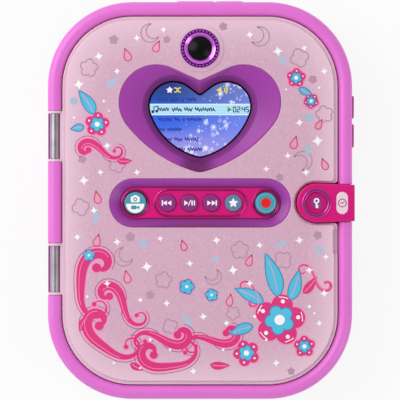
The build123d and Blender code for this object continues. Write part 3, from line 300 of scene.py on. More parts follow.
def sleeve(start, end, y, z, inner, outer):
    """Thin tube along x: four circles, two outside and two inside, joined into a closed band."""
    ring = circle(1.0, 48)
    rings = [(start, outer), (end, outer), (end, inner), (start, inner)]
    circles = [np.column_stack([np.full(len(ring), x), r * ring + (y, z)]) for x, r in rings]
    return np.concatenate(circles), [grid_faces(4, len(ring), wrap=True)]


def block(low, high):
    """Box from its lowest corner to its highest."""
    corner = np.array([[x, y, z] for x in (0, 1) for y in (0, 1) for z in (0, 1)])
    quads = [[0, 1, 3, 2], [4, 6, 7, 5], [0, 4, 5, 1], [2, 3, 7, 6], [0, 2, 6, 4], [1, 5, 7, 3]]
    return np.array(low) + corner * (np.array(high) - np.array(low)), [np.array(quads)]


def put(name, data):
    """New object in the scene."""
    thing = bpy.data.objects.new(name, data)
    bpy.context.scene.collection.objects.link(thing)
    return thing


def add_piece(name, shapes, finish, body, smooth=False):
    """One mesh made of closed shapes, riding on a body, with its faces turned outwards."""
    faces, start = [], 0
    for points, groups in shapes:
        faces += [face for group in groups for face in (group + start).tolist()]
        start += len(points)
    mesh = bpy.data.meshes.new(name)
    mesh.from_pydata((np.concatenate([points for points, _ in shapes]) * MM).tolist(), [], faces)
    work = bmesh.new()
    work.from_mesh(mesh)
    bmesh.ops.recalc_face_normals(work, faces=work.faces)
    work.to_mesh(mesh)
    work.free()
    mesh.polygons.foreach_set("use_smooth", np.full(len(mesh.polygons), smooth))
    mesh.materials.append(finish)
    piece = put(name, mesh)
    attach(piece, body)
    return piece


# ---- shader nodes ----
def linear(hex_colour):
    """Linear RGBA of an sRGB hex colour."""
    s = np.array([int(hex_colour[i:i + 2], 16) for i in (1, 3, 5)]) / 255
    rgb = np.where(s <= 0.04045, s / 12.92, ((s + 0.055) / 1.055) ** 2.4)
    return (*rgb.tolist(), 1.0)


BLACK, WHITE = linear("#000000"), linear("#FFFFFF")


def add_node(tree, kind, inputs=None, **settings):
    """Adds a shader node, sets its settings, and sets or links each input."""
    node = tree.nodes.new("ShaderNode" + kind)
    for key, value in settings.items():
        setattr(node, key, value)
    for key, value in (inputs or {}).items():
        if isinstance(value, bpy.types.NodeSocket):
            tree.links.new(value, node.inputs[key])
        else:
            node.inputs[key].default_value = value
    return node


def empty_finish(name):
    """New material with no nodes, its tree, and the socket that gives a point's place on the object."""
    finish = bpy.data.materials.new(name)
    finish.use_nodes = True
    tree = finish.node_tree
    tree.nodes.clear()
    return finish, tree, add_node(tree, "TexCoord").outputs["Object"]


def close(tree, inputs, kind="BsdfPrincipled"):
    """Ends a finish: its shader, and the output."""
    add_node(tree, "OutputMaterial", {"Surface": add_node(tree, kind, inputs).outputs[0]})


def maths(tree, operation, first, second=0.0):
    """Sum, product or other operation on one or two values."""
    return add_node(tree, "Math", {0: first, 1: second}, operation=operation).outputs["Value"]


def ranged(tree, value, low, high, start=0.0, end=1.0, curve="LINEAR"):
    """Value carried from one range to another, and held at its ends."""
    inputs = {"Value": value, "From Min": low, "From Max": high, "To Min": start, "To Max": end}
    return add_node(tree, "MapRange", inputs, interpolation_type=curve).outputs["Result"]


def blend(tree, share, first, second):
    """Colour between two: the first where the share is none, the second where it is one."""
    inputs = {"Factor": share, "A": first, "B": second}
    return add_node(tree, "Mix", inputs, data_type="RGBA").outputs["Result"]


def axes(tree, vector):
    return add_node(tree, "SeparateXYZ", {"Vector": vector}).outputs


def framed(tree, place, middle, size, turn=0.0):
    """Place counted from a middle, in shares of a size, along axes turned by degrees."""
    return add_node(tree, "Mapping", {
        "Vector": place,
        "Location": (middle[0] * MM, middle[1] * MM, 0),
        "Rotation": (0, 0, np.radians(turn)),
        "Scale": (size[0] * MM, size[1] * MM, 1),
    }, vector_type="TEXTURE").outputs["Vector"]


def per_metre(size_mm):
    """Texture scale for features of this size in millimetres on Object coordinates."""
    return 1 / (size_mm * MM)


def noise(tree, place, size_mm, detail):
    inputs = {"Vector": place, "Scale": per_metre(size_mm), "Detail": detail}
    return add_node(tree, "TexNoise", inputs).outputs["Fac"]


def scatter(tree, place, size_mm):
    """Scattered points: the distance to the nearest, and its three chances between none and one."""
    points = add_node(tree, "TexVoronoi", {"Vector": place, "Scale": per_metre(size_mm)})
    chance = add_node(tree, "SeparateColor", {"Color": points.outputs["Color"]})
    return points.outputs["Distance"], chance.outputs


def stripes(tree, place, wave_mm, axis, **inputs):
    """Waves along one axis; the texture takes twenty radians to each unit of its scale."""
    inputs = {"Vector": place, "Scale": per_metre(wave_mm) * 2 * np.pi / 20, **inputs}
    return add_node(tree, "TexWave", inputs, bands_direction=axis).outputs["Fac"]


def colour_steps(tree, value, steps):
    """Colour of a value, from (position, hex) pairs in rising order."""
    ramp = add_node(tree, "ValToRGB", {"Fac": value})
    stops = ramp.color_ramp.elements
    while len(stops) < len(steps):
        stops.new(0.5)
    for i, (at, tone) in enumerate(steps):
        stops[i].position = at
        stops[i].color = linear(tone)
    return ramp.outputs["Color"]


def two_tone(tree, place, size_mm, dark, light):
    """Colour that drifts between two close tones over patches of a given size."""
    return colour_steps(tree, noise(tree, place, size_mm, 1.0), [(0.3, dark), (0.7, light)])


def by_height(tree, place, steps):
    """Colour that changes with height, from (millimetres, hex) pairs from low to high."""
    low, high = steps[0][0], steps[-1][0]
    height = ranged(tree, axes(tree, place)["Z"], low * MM, high * MM)
    return colour_steps(tree, height, [((z - low) / (high - low), tone) for z, tone in steps])


def bump(tree, height, depth_mm):
    return add_node(tree, "Bump", {"Height": height, "Distance": depth_mm * MM}).outputs["Normal"]


def grain_bump(tree, place, size_mm, depth_mm):
    """Surface grain of a mould: fine noise as height."""
    return bump(tree, noise(tree, place, size_mm, 3.0), depth_mm)


# ---- kinds of finish ----
USUAL_GRAIN = (1.2, 0.008)    # its size and depth


def moulded_plastic(name, dark, light, roughness, grain=USUAL_GRAIN, specular=0.5, coat=0.0):
    """Injection-moulded ABS, rubber or acetal: a body colour that drifts slightly, and the mould's grain."""
    finish, tree, place = empty_finish(name)
    close(tree, {
        "Base Color": two_tone(tree, place, 45, dark, light),
        "Roughness": roughness,
        "Specular IOR Level": specular,
        "Coat Weight": coat,
        "Coat Roughness": 0.1,
        "Normal": grain_bump(tree, place, *grain),
    })
    return finish


def bowl_plastic(name, steps, middle, reach, deep):
    """Gloss ABS bowl with painted shade: its colour is painted darker towards the floor.

    It is painted darker still, towards the deep tone, in an oval (middle and half sizes in millimetres) low
    on the wall.
    """
    finish, tree, place = empty_finish(name)
    oval = framed(tree, place, middle, reach)
    away = add_node(tree, "VectorMath", {0: oval}, operation="LENGTH").outputs["Value"]
    # painted shade: darker inside the oval low on the wall
    painted_shade = ranged(tree, away, 1.0, 0.25, curve="SMOOTHSTEP")
    close(tree, {
        "Base Color": blend(tree, painted_shade, by_height(tree, place, steps), linear(deep)),
        "Roughness": 0.3,
        "Specular IOR Level": 0.3,
        "Normal": grain_bump(tree, place, 1.2, 0.006),
    })
    return finish


def metal_painted_light(name, steps):
    """Vacuum-metallised ring coloured by height: its sunk band painted dark as shade, the stud tops pale as a
    painted highlight.
    """
    finish, tree, place = empty_finish(name)
    close(tree, {
        "Base Color": by_height(tree, place, steps),
        "Metallic": 1.0,
        "Roughness": 0.2,
        "Normal": grain_bump(tree, place, 0.8, 0.004),
    })
    return finish


def plated_metal(name, dark, light, roughness):
    """Plated or vacuum-metallised part: coloured mirror with faint polishing streaks along y."""
    finish, tree, place = empty_finish(name)
    across, along = 0.3, 6.0
    stretch = add_node(tree, "Mapping", {"Vector": place, "Scale": (1, across / along, 1)})
    streaks = noise(tree, stretch.outputs["Vector"], across, 2.0)
    close(tree, {
        "Base Color": two_tone(tree, place, 9, dark, light),
        "Metallic": 1.0,
        "Roughness": ranged(tree, streaks, 0.0, 1.0, roughness * 0.7, roughness * 1.4),
    })
    return finish


def clear_plastic(name, dark, light, transmission, roughness, ior):
    """Clear or tinted polycarbonate and acrylic: light passes through two close tints."""
    finish, tree, place = empty_finish(name)
    close(tree, {
        "Base Color": two_tone(tree, place, 25, dark, light),
        "Roughness": roughness,
        "IOR": ior,
        "Transmission Weight": transmission,
    })
    return finish


def glitter_plastic(name):
    """Satin pink sheet with fine glitter under a clear face: most flakes lie flat; their tone differs at
    random, and the lightest few are painted glints.

    Real flakes are about 0.2 mm; they are drawn at 0.7 mm so that they show from a distance. The sheet
    is painted paler towards its edge as a painted reflection: by the sum of the fifth powers of the place
    along each half of it.
    """
    finish, tree, place = empty_finish(name)
    _, chance = scatter(tree, place, 0.7)
    # flake tones differ at random; the lightest few are painted glints
    flakes = [(0.0, "#D3A7BE"), (0.4, "#D7ABC2"), (0.93, "#DBB1C7"), (1.0, "#E3BDD1")]
    low, high = box_mm("front_panel")
    share = axes(tree, framed(tree, place, (0, 0), (high - low) / 2))
    powers = [maths(tree, "POWER", maths(tree, "ABSOLUTE", share[axis]), 5.0) for axis in "XY"]
    # painted reflection: the sheet is painted paler towards its edge
    painted_edge_reflection = ranged(tree, maths(tree, "ADD", *powers), 0.3, 1.0, end=0.62)
    close(tree, {
        "Base Color": blend(tree, painted_edge_reflection, colour_steps(tree, chance["Red"], flakes), linear("#F6D6E7")),
        "Roughness": ranged(tree, chance["Green"], 0.0, 1.0, 0.38, 0.6),
        "Coat Weight": 0.1,
        "Coat Roughness": 0.35,
        "Normal": bump(tree, chance["Blue"], 0.008),
    })
    return finish


def paper(name, dark, light):
    """Block of paper: soft lighter and darker bands over its height, and fibre."""
    finish, tree, place = empty_finish(name)
    sheets = stripes(tree, place, 3.1416, "Z", Distortion=1.5, Detail=1.0)
    close(tree, {
        "Base Color": colour_steps(tree, sheets, [(0.2, dark), (0.8, light)]),
        "Roughness": 0.85,
        "Specular IOR Level": 0.2,
        "Normal": grain_bump(tree, place, 0.4, 0.02),
    })
    return finish


def ink(name, dark, light):
    """Pad-printed ink: flat colour with slight mottle, a little duller than the sheet below."""
    return moulded_plastic(f"{name}_ink", dark, light, 0.45, (0.5, 0.003), 0.3)


def close_lit(tree, colour, strength):
    """Ends a finish of the display: a dark satin face that gives out a colour."""
    close(tree, {
        "Base Color": BLACK,
        "Roughness": 0.5,
        "Specular IOR Level": 0.2,
        "Emission Color": colour,
        "Emission Strength": strength,
    })


def lit(name, dark, light):
    """Lit part of the display: two close tones that take turns in soft rows."""
    finish, tree, place = empty_finish(f"lit_{name}")
    close_lit(tree, colour_steps(tree, stripes(tree, place, 1.885, "Y"), [(0.0, dark), (1.0, light)]), 1.0)
    return finish


def starry_picture(name):
    """Picture shown behind the list: deep blue at the top left, lilac below, with bright dust.

    The colour is a mix by height and by side. The dust is the small distance to the nearest
    point of two scatters, kept in a band that falls from right to left.
    """
    finish, tree, place = empty_finish(name)
    along = axes(tree, place)
    shades = [(0.0, "#AE9EE2"), (0.2, "#928FE4"), (0.42, "#3C68E4"), (0.62, "#2A5FD6"), (0.85, "#26478F"),
              (1.0, "#2B3A86")]
    sky = colour_steps(tree, ranged(tree, along["Y"], 26 * MM, 72 * MM), shades)
    glow = blend(tree, ranged(tree, along["X"], -16 * MM, 32 * MM, end=0.7), sky, linear("#8795E8"))
    # millimetres from the line along which the dust falls, through (11, 48)
    off = maths(tree, "ABSOLUTE", axes(tree, framed(tree, place, (11, 48), (1, 1), -35))["X"])
    band = ranged(tree, off, 6.0, 19.0, 1.0, 0.0)
    # the dust's spacing in millimetres, and its largest grain as a share of that
    for apart, reach in ((4.2, 0.66), (2.1, 0.5)):
        distance, chance = scatter(tree, place, apart)
        size = maths(tree, "MULTIPLY", maths(tree, "MULTIPLY", chance["Red"], band), reach)
        glow = blend(tree, ranged(tree, distance, size, 0.0), glow, WHITE)
    close_lit(tree, glow, 1.05)
    return finish


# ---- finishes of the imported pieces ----
def dress(finish, *nodes):
    """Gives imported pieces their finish."""
    for node in nodes:
        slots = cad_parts[node].data.materials
        slots.clear()
        slots.append(finish)


# name, two close tones, roughness, the pieces in it, and if not the usual: grain, specular level, coat
MOULDINGS = [
    # case and lid: bright satin mouldings, the soft covers duller than the rim round them
    ("orchid_abs_gloss", "#E772D6", "#E976D8", 0.36, ["rim_frame"]),
    ("orchid_soft_rubber", "#DE68CC", "#E16CCF", 0.6, ["headphone_cover", "usb_cover"], (0.6, 0.02), 0.35),
    ("violet_abs_spark_eroded", "#843794", "#893B99", 0.55, ["back_cover", "battery_door"], (0.7, 0.05)),
    ("lilac_abs_satin", "#C497D8", "#C99DDC", 0.5, ["tray_liner"], (0.8, 0.03)),
    ("lilac_pink_abs_satin", "#D086D2", "#D58CD6", 0.46, ["lid_back_shell"], (0.8, 0.03)),
    # keys and lock: saturated gloss, the strongest colours kept clear of grey glare by a low specular level
    ("magenta_abs_gloss", "#D8147B", "#DD1881", 0.3, ["key_plate", "lock_housing"], USUAL_GRAIN, 0.25),
    ("deep_magenta_abs_gloss", "#C01070", "#C61476", 0.3, ["unlock_button"], USUAL_GRAIN, 0.25),
    ("rose_abs_satin", "#BC4796", "#C24C9C", 0.4, ["volume_up_key", "volume_down_key"]),
    ("pale_pink_abs_gloss", "#F6CFDE", "#F9D6E3", 0.3, ["clock_button"]),
    ("teal_abs_gloss", "#4F9AAF", "#539FB4", 0.28, ["camera_key", "record_key"]),
    ("plum_abs_gloss", "#8C2E7E", "#933485", 0.28,
     ["previous_key", "play_key", "next_key"], USUAL_GRAIN, 0.35),
    ("blue_grey_abs_gloss", "#647FA1", "#6984A6", 0.28, ["star_key"]),
    # dark pieces: matt rubber, foam and paper drink the light; the dome only takes a soft glint
    ("dark_soft_rubber", "#322C36", "#363039", 0.75, ["rubber_feet"], (0.5, 0.03), 0.3),
    ("black_foam_gasket", "#0D0D14", "#14141B", 0.95, ["screen_gasket"], (0.4, 0.1), 0.2),
    ("black_moulding", "#121215", "#18181C", 0.5,
     ["camera_module", "headphone_jack", "card_socket", "display_module"], (0.8, 0.02)),
    ("smoked_acrylic_dome", "#0B0B0B", "#0F0F0F", 0.24, ["camera_dome"], (6.0, 0.001), 0.12),
    ("black_paper_cone", "#0E0E10", "#18181C", 0.85, ["speaker"], (0.5, 0.08), 0.2),
    # working parts inside: lacquered glass board, waxy acetal, milky silicone
    ("green_solder_mask", "#176B34", "#1A7138", 0.35,
     ["main_board", "lock_board", "port_board", "side_key_board"], (1.5, 0.02), 0.5, 0.3),
    ("natural_acetal", "#E2E2DE", "#E8E8E4", 0.4, ["latch_bolt", "lock_pinion", "lock_chassis"], (1.0, 0.01)),
    ("milky_silicone", "#D6D6DC", "#DCDCE2", 0.55, ["key_mat"], (0.8, 0.02)),
    # stationery and cells: glossy pen and film, soft card
    ("pink_pen_barrel", "#DF4A9C", "#E34FA0", 0.25, ["pen_barrel"], USUAL_GRAIN, 0.5, 0.4),
    ("violet_pen_cap", "#77329A", "#7C369F", 0.25, ["pen_cap"], USUAL_GRAIN, 0.5, 0.4),
    ("printed_magenta_card", "#CF368C", "#D43C91", 0.55, ["notepad_cover"], (0.4, 0.02)),
    ("dark_printed_film", "#34373F", "#393C45", 0.3, ["aa_cells"], USUAL_GRAIN, 0.5, 0.4),
]
for name, dark, light, roughness, nodes, *details in MOULDINGS:
    dress(moulded_plastic(name, dark, light, roughness, *details), *nodes)

# bowls: deep purple gloss with painted shade that darkens down the wall and in an oval low on it
PANEL_Z, SCREEN_Z, PLATE_Z = top("front_panel") - COLLAR_RISE, top("screen_window"), top("key_plate")
dress(bowl_plastic("purple_abs_heart_bowl_painted_shade", [
    (SCREEN_Z, "#722570"), (SCREEN_Z + 1.6, "#7E2C7E"), (PANEL_Z - 3.05, "#8B3690"),
    (PANEL_Z - 2.9, "#9A3CA0"), (PANEL_Z - 0.3, "#A641A9"),
], (-2, 21), (15, 10), "#6C2068"), "heart_bezel")
dress(bowl_plastic("purple_abs_key_bowl_painted_shade", [
    (PLATE_Z, "#8C2C90"), (PLATE_Z + 0.9, "#9A389E"), (PANEL_Z - 0.3, "#AA42AC"),
], (0, -17), (64, 8), "#82307C"), "key_bowl")

# metals: soft bands of light along the hinge, sharper ones on the small bright rings; on the camera ring they
# are painted by height
RING_Z = top("camera_ring") - 0.5
# camera ring: the dark band is painted shade and the pale stud tops a painted highlight
dress(metal_painted_light("violet_metallised_plastic", [
    (RING_Z - 1.6, "#B23FD0"), (RING_Z - 0.25, "#F48BFF"), (RING_Z - 0.15, "#8C2AA6"),
    (RING_Z + 0.1, "#8C2AA6"), (RING_Z + 0.4, "#FBB4FF"),
]), "camera_ring")
dress(plated_metal("magenta_metallised_plastic", "#C0397F", "#CC4A8C", 0.2), "key_rings")
dress(plated_metal("orchid_metallised_plastic", "#D650B4", "#E562C2", 0.2), "lock_ring")
dress(plated_metal("chrome_plated_steel", "#A09AA2", "#AFA8B1", 0.36), "hinge_pins")
dress(plated_metal("zinc_plated_steel", "#B4B4B8", "#C6C6CA", 0.32),
      "case_screws", "lid_screws", "door_screw", "lock_motor", "usb_socket", "microphone")
nickel = plated_metal("nickel_spring_steel", "#BDBAB2", "#CFCCC4", 0.28)
copper = plated_metal("copper_film_band", "#B4743E", "#C98A50", 0.3)

# sheets: a frosted pink frame, a window whose coating takes its glare away, the glitter, and the paper
dress(clear_plastic("pink_polycarbonate", "#F4CADF", "#FAD4E6", 0.12, 0.25, 1.5), "lid_frame")
dress(clear_plastic("anti_reflection_acrylic_window", "#FAFBFF", "#FDFDFF", 1.0, 0.02, 1.15), "screen_window")
dress(glitter_plastic("pink_glitter_sheet"), "front_panel")
dress(paper("pale_paper_block", "#DCC9D4", "#F7EDF2"), "notepad_pages")

# inks
white_ink = ink("white", "#FCF9FC", "#FFFDFF")
magenta_ink = ink("magenta", "#E0327E", "#E53A84")
halo_ink = ink("pale_pink", "#F393C0", "#F79CC6")
cyan_ink = ink("cyan", "#50BEDF", "#58C6E6")
blue_ink = ink("blue_line", "#3E74B4", "#477DBC")
rose_ink = ink("rose_line", "#D9527F", "#E0608B")
blush_ink = ink("blush", "#E6A0BA", "#EAA9C1")
mauve_ink = ink("faint_mauve", "#BC91AA", "#C198B0")
sky_ink = ink("faint_blue", "#AEC0D8", "#B5C7DD")
plum_ink = ink("plum", "#8A3A86", "#8F3F8B")
wine_ink = ink("wine_line", "#B5447F", "#BB4A86")
brown_ink = ink("plum_line", "#8C4A6A", "#925070")
red_ink = ink("red", "#EA1210", "#F01A15")
teal_ink = ink("teal", "#4593A8", "#4A99AE")


# ---- garland and scattered motifs ----
panel = level(top("front_panel") - COLLAR_RISE)

# scrolls: x, y of the middle, heading, length, turn of each end, 1 for C or -1 for S, greatest width
SCROLLS = [
    (-72, -52, -92, 88, 325, 1, 6.4),
    (-57, -89, -36, 82, 325, 1, 6.4),
    (-46, -64, 284, 62, 315, -1, 5.4),
    (-24, -83, 150, 62, 315, -1, 5.6),
    (-17, -100, 6, 76, 325, 1, 5.6),
    (6, -84, 160, 60, 305, -1, 5.0),
    (-59, 30, -44, 48, 315, -1, 4.4),
    (69, -46, 108, 42, 300, -1, 1.5),
    (33, -54, 118, 36, 300, 1, 1.3),
]
# leaves: x, y, heading, length, width
LEAVES = [
    (-69, -71, 235, 9, 4.4), (-42, -98, -40, 9, 4.4), (6, -99, -12, 12, 5.0), (-50, 24, -10, 9, 4.2),
    (62, -56, 40, 13, 5.6),
]
CYAN_LEAVES = [
    (47, -58, 96, 27, 9.6), (54, -60, 62, 19, 7.4), (38, -62, 142, 19, 7.4), (32, -76, 188, 15, 6.4),
    (-64, 52, 112, 17, 7.0), (-70, 44, 176, 8, 4.6), (60, 68, -40, 9, 4.2),
]
# blossoms: x, y, radius, turn
BLOSSOMS = [
    (48, -72, 15.5, 8), (28, -92, 8.0, 40), (63, -88, 6.4, 20), (-62, 46, 7.4, 12), (58, 74, 5.8, 14),
    (67, 60, 4.6, 50),
]
SMALL_BLOSSOMS = [(-8, -52, 4.6, 0), (7, -57, 3.8, 30), (-67, -33, 3.6, 16)]
# sparkles and dots: x, y, radius
SPARKLES = [
    (-61, 87, 3.0), (-38, 98, 2.4), (-73, 70, 3.6), (-50, 78, 2.2), (-70, 12, 3.4), (-60, 17, 2.3),
    (-22, 103, 2.2), (-56, 33, 2.6), (-64, -6, 2.6), (-74, -22, 2.4), (30, 100, 2.6), (47, 90, 3.4),
    (63, 92, 2.2), (75, 78, 2.6), (60, 47, 2.6), (71, 36, 3.8), (53, 27, 2.4), (64, 17, 2.6), (40, 19, 2.2),
    (-38, 17, 2.4), (-50, -25, 2.6), (-24, -23, 2.2), (10, -24, 2.8), (36, -27, 2.4), (60, -24, 2.8),
    (-32, -40, 3.6), (-6, -38, 2.4), (20, -42, 3.4), (2, -70, 2.6), (66, -42, 2.6), (-20, -62, 2.4),
    (75, -56, 2.8), (16, -74, 2.2), (76, -34, 2.2), (-56, -50, 2.4), (46, -98, 2.6), (-4, -103, 2.4),
    (30, -50, 2.4), (-36, -60, 2.0), (72, -74, 2.2),
]
WHITE_DOTS = [
    (66, -64, 1.0), (69, -68, 0.7), (33, -70, 0.9), (36, -66, 0.7), (-30, -84, 0.9), (-52, -98, 0.8),
    (-36, -101, 0.7), (14, -90, 0.8), (-58, 60, 0.8), (-76, 50, 0.7), (72, 68, 0.7), (40, -84, 0.8),
    (-55, 54, 0.6), (52, 67, 0.6), (-68, -58, 0.8), (-18, -90, 0.8),
]
# drops with a rose edge: x, y, radius, turn
ROSE_DROPS = [
    (-44, 88, 3.1, 20), (-26, 93, 2.8, -24), (-62, 2, 3.0, 12), (57, 35, 3.0, -16), (75, 22, 2.8, 22),
    (-62, -24, 3.0, -14), (-10, -27, 2.6, 18), (30, -36, 2.8, -22), (-44, -46, 3.0, 12), (18, -60, 2.8, -10),
    (72, 46, 2.6, -30),
]
# faint outlines: kind, x, y, size, turn
MAUVE_MARKS = [
    ("moon", -30, 101, 5.6, 30), ("bloom", -67, 80, 5.4, 10), ("moon", 36, 99, 5.8, 160),
    ("clover", 60, 86, 5.6, 20), ("bloom", 75, 52, 5.2, 30), ("bloom", -50, 22, 5.2, 0),
    ("moon", 62, 24, 5.6, 210), ("clover", -72, -4, 5.2, 14), ("moon", -46, -34, 5.6, 40),
    ("bloom", 24, -30, 5.4, 20), ("clover", 50, -36, 5.4, 40), ("bloom", -22, -48, 5.0, 8),
    ("moon", 8, -46, 4.8, 120), ("bloom", 20, -68, 4.2, 50), ("clover", -18, -76, 4.6, 30),
]
# faint filled blossoms: x, y, radius, turn
MAUVE_BLOOMS = [
    (-52, 97, 2.9, 10), (14, 105, 2.6, 30), (68, 73, 2.7, 50), (-71, 25, 2.7, 0), (-42, -22, 2.9, 20),
    (71, -21, 2.7, 40), (-30, -57, 2.7, 15), (55, -103, 2.4, 20), (-20, 97, 2.3, 5), (48, 14, 2.4, 25),
]
# faint blue shapes: kind, x, y, size, turn
SKY_MARKS = [
    ("leaf", -56, 68, 9.0, 40), ("ring", 66, 50, 2.6, 0), ("leaf", 52, 82, 8.0, 120),
    ("ring", -76, 60, 2.4, 0), ("leaf", -64, -14, 9.0, 70), ("ring", -34, -26, 2.6, 0),
    ("leaf", 46, -28, 8.0, 20), ("ring", 72, -30, 2.6, 0), ("leaf", -6, -76, 9.0, 110),
    ("ring", -58, -40, 2.4, 0), ("leaf", 12, -34, 7.0, 200), ("leaf", 66, 34, 8.0, 250),
]

MOTIFS = {
    "moon": moon,
    "bloom": blossom,
    "clover": lambda size: blossom(size, 4),
    "ring": lambda size: circle(size, 28),
    "leaf": lambda size: leaf(size, size * 0.42),
}


def marks(rows):
    return [placed(MOTIFS[kind](size), x, y, turn) for kind, x, y, size, turn in rows]


def leaves(rows):
    return [placed(leaf(long, wide), x, y, turn) for x, y, turn, long, wide in rows]


def blossoms(rows, share=1.0, ahead=0):
    return [placed(blossom(radius * share), x, y, turn + ahead) for x, y, radius, turn in rows]


def sparkles(rows):
    return [placed(radius * superellipse(0.6), x, y, 8) for x, y, radius in rows]


def middles(rows, share):
    return [circle(radius * share, 24) + (x, y) for x, y, radius, _ in rows]


def ribs(rows):
    """Line along the spine of each leaf, short of both ends."""
    u = np.linspace(0.12, 0.82, 8)
    spine = np.column_stack([u, LEAF_BEND * u ** 2])
    return [placed(spine, x, y, turn, long) for x, y, turn, long, _ in rows]


def garland():
    """Scrolls, leaves and blossoms over a paler edge, with lines and lights drawn on them."""
    paths = [scroll(*route) for *route, _ in SCROLLS]
    widths = [swelling(widest) for *_, widest in SCROLLS]
    ends = [circle(widest * share, 24) + path[end]
            for path, (*_, widest) in zip(paths, SCROLLS) for end, share in ROUND_ENDS]
    stems = leaves(LEAVES) + ends
    petals = blossoms(BLOSSOMS)
    blades = leaves(CYAN_LEAVES)
    bright = blossoms(BLOSSOMS, *HEART) + blossoms(SMALL_BLOSSOMS)
    edged = leaves(LEAVES) + blades + petals + blossoms(SMALL_BLOSSOMS) + ends

    halo = bands(paths, [width + HALO_EDGE for width in widths], panel, HALO)
    edges = [grown(outline, LEAF_EDGE) for outline in edged]
    halo += stacked(filled, edges, panel, HALO + INK_STEP * len(paths))
    magenta = bands(paths, widths, panel, STEM)
    magenta += stacked(filled, stems, panel, LEAF) + stacked(filled, petals, panel, PETAL)
    echoes = [echo(path, width, mirror)
              for path, width, (*_, mirror, widest) in zip(paths, widths, SCROLLS) if widest > 2]
    crests = [crest(path, width) for path, width in zip(paths, widths)]
    veins = stacked(line, ribs(LEAVES + CYAN_LEAVES), panel, VEIN, width=0.45)
    veins += stacked(line, crests, panel, VEIN, width=0.35)
    cyan = stacked(filled, blades, panel, LEAF + 0.012) + stacked(filled, bright, panel, PETAL + 0.01)
    return [
        ("garland_halo", halo, halo_ink),
        ("garland_magenta", magenta, magenta_ink),
        ("garland_echoes", stacked(line, echoes, panel, ECHO, width=0.42), wine_ink),
        ("garland_cyan", cyan, cyan_ink),
        ("garland_edges", stacked(line, blades + bright, panel, DETAIL, width=0.5, closed=True), blue_ink),
        ("garland_veins", veins, halo_ink),
    ]


def white_print():
    """Middles of the blossoms, a dot on each petal, strokes on the largest ones, and the sparkles."""
    dots = [circle(radius * 0.08, 12) + spot for x, y, radius, turn in BLOSSOMS
            for spot in placed(circle(radius * 0.73, 5), x, y, turn)]
    dots += [circle(radius, 20) + (x, y) for x, y, radius in WHITE_DOTS]
    strokes = [placed(arc(radius * 0.89, a - 12, a + 12, 10), x, y, turn)
               for x, y, radius, turn in BLOSSOMS if radius > 9 for a in np.arange(5) * 72]
    white = stacked(filled, middles(BLOSSOMS + SMALL_BLOSSOMS, 0.2) + dots, panel, GLINT)
    white += stacked(line, strokes, panel, GLINT, width=0.5)
    white += stacked(filled, sparkles(SPARKLES), panel, DETAIL)
    return "lid_sparkles", white, white_ink


def faint_prints():
    """Drops with a rose edge, and the motifs that hardly show."""
    drops = [placed(drop(radius), x, y, turn) for x, y, radius, turn in ROSE_DROPS]
    faint = stacked(line, marks(MAUVE_MARKS), panel, FAINT, width=DRAWN, closed=True)
    faint += stacked(filled, blossoms(MAUVE_BLOOMS), panel, FAINT)
    return [
        ("rose_drops", stacked(line, drops, panel, HALO, width=DRAWN, closed=True), rose_ink),
        ("blush_drops", stacked(filled, drops, panel, FAINT), blush_ink),
        ("mauve_marks", faint, mauve_ink),
        ("sky_marks", stacked(filled, marks(SKY_MARKS), panel, FAINT), sky_ink),
    ]


# ---- symbols on the keys ----
def triangle(x, y, size, way=1):
    """Play sign that points right, or left with way -1."""
    corners = around(3) + (0.0 if way > 0 else np.pi)
    return polar(size, corners) * (1.0, 1.1) + (x, y)


def key_print(key, what, outlines, finish, high=KEY_INK, **options):
    """Outlines printed on the flat top of a key round its middle, filled, or drawn as lines of a width."""
    flats = [outline + centre(key)[:2] for outline in outlines]
    shape = line if options else filled
    add_piece(f"{key}_{what}", stacked(shape, flats, level(top(key)), high, **options), finish, key)


def key_symbols():
    """Standard symbols on the keys, each riding on its own key."""
    stop, slash, lens = bar(0.75, 3.4), placed(bar(0.5, 4.0), 0.2, 0, -22), (0, 2.2)
    symbols = {
        "previous_key": [stop - (3.0, 0), triangle(-1.1, 0, 1.6, -1), triangle(1.6, 0, 1.6, -1)],
        "play_key": [triangle(-2.2, 0, 1.6), slash, bar(0.75, 3.0) + (1.7, 0), bar(0.75, 3.0) + (3.1, 0)],
        "next_key": [triangle(-1.6, 0, 1.6), triangle(1.1, 0, 1.6), stop + (3.0, 0)],
        "star_key": [star(3.1, 0.5)],
        # stills camera above, moving pictures below on a white half-moon
        "camera_key": [bar(5.4, 3.6) + lens, bar(2.2, 1.2) + (0, 4.1), arc(5.5, 180, 360, 30) - (0, 0.5)],
    }
    for key, outlines in symbols.items():
        key_print(key, "symbol", outlines, white_ink)
    signs = [circle(1.25, 28) + lens, bar(3.4, 2.3) - (0.8, 2.7), triangle(1.9, -2.7, 1.3, -1)]
    key_print("camera_key", "signs", signs, teal_ink, KEY_DETAIL)
    key_print("camera_key", "glint", [circle(0.6, 20) + lens], white_ink, KEY_DETAIL + 0.02)
    key_print("record_key", "ring", [circle(5.2)], cyan_ink, width=0.45, closed=True)
    key_print("record_key", "dot", [circle(3.0, 36)], red_ink)


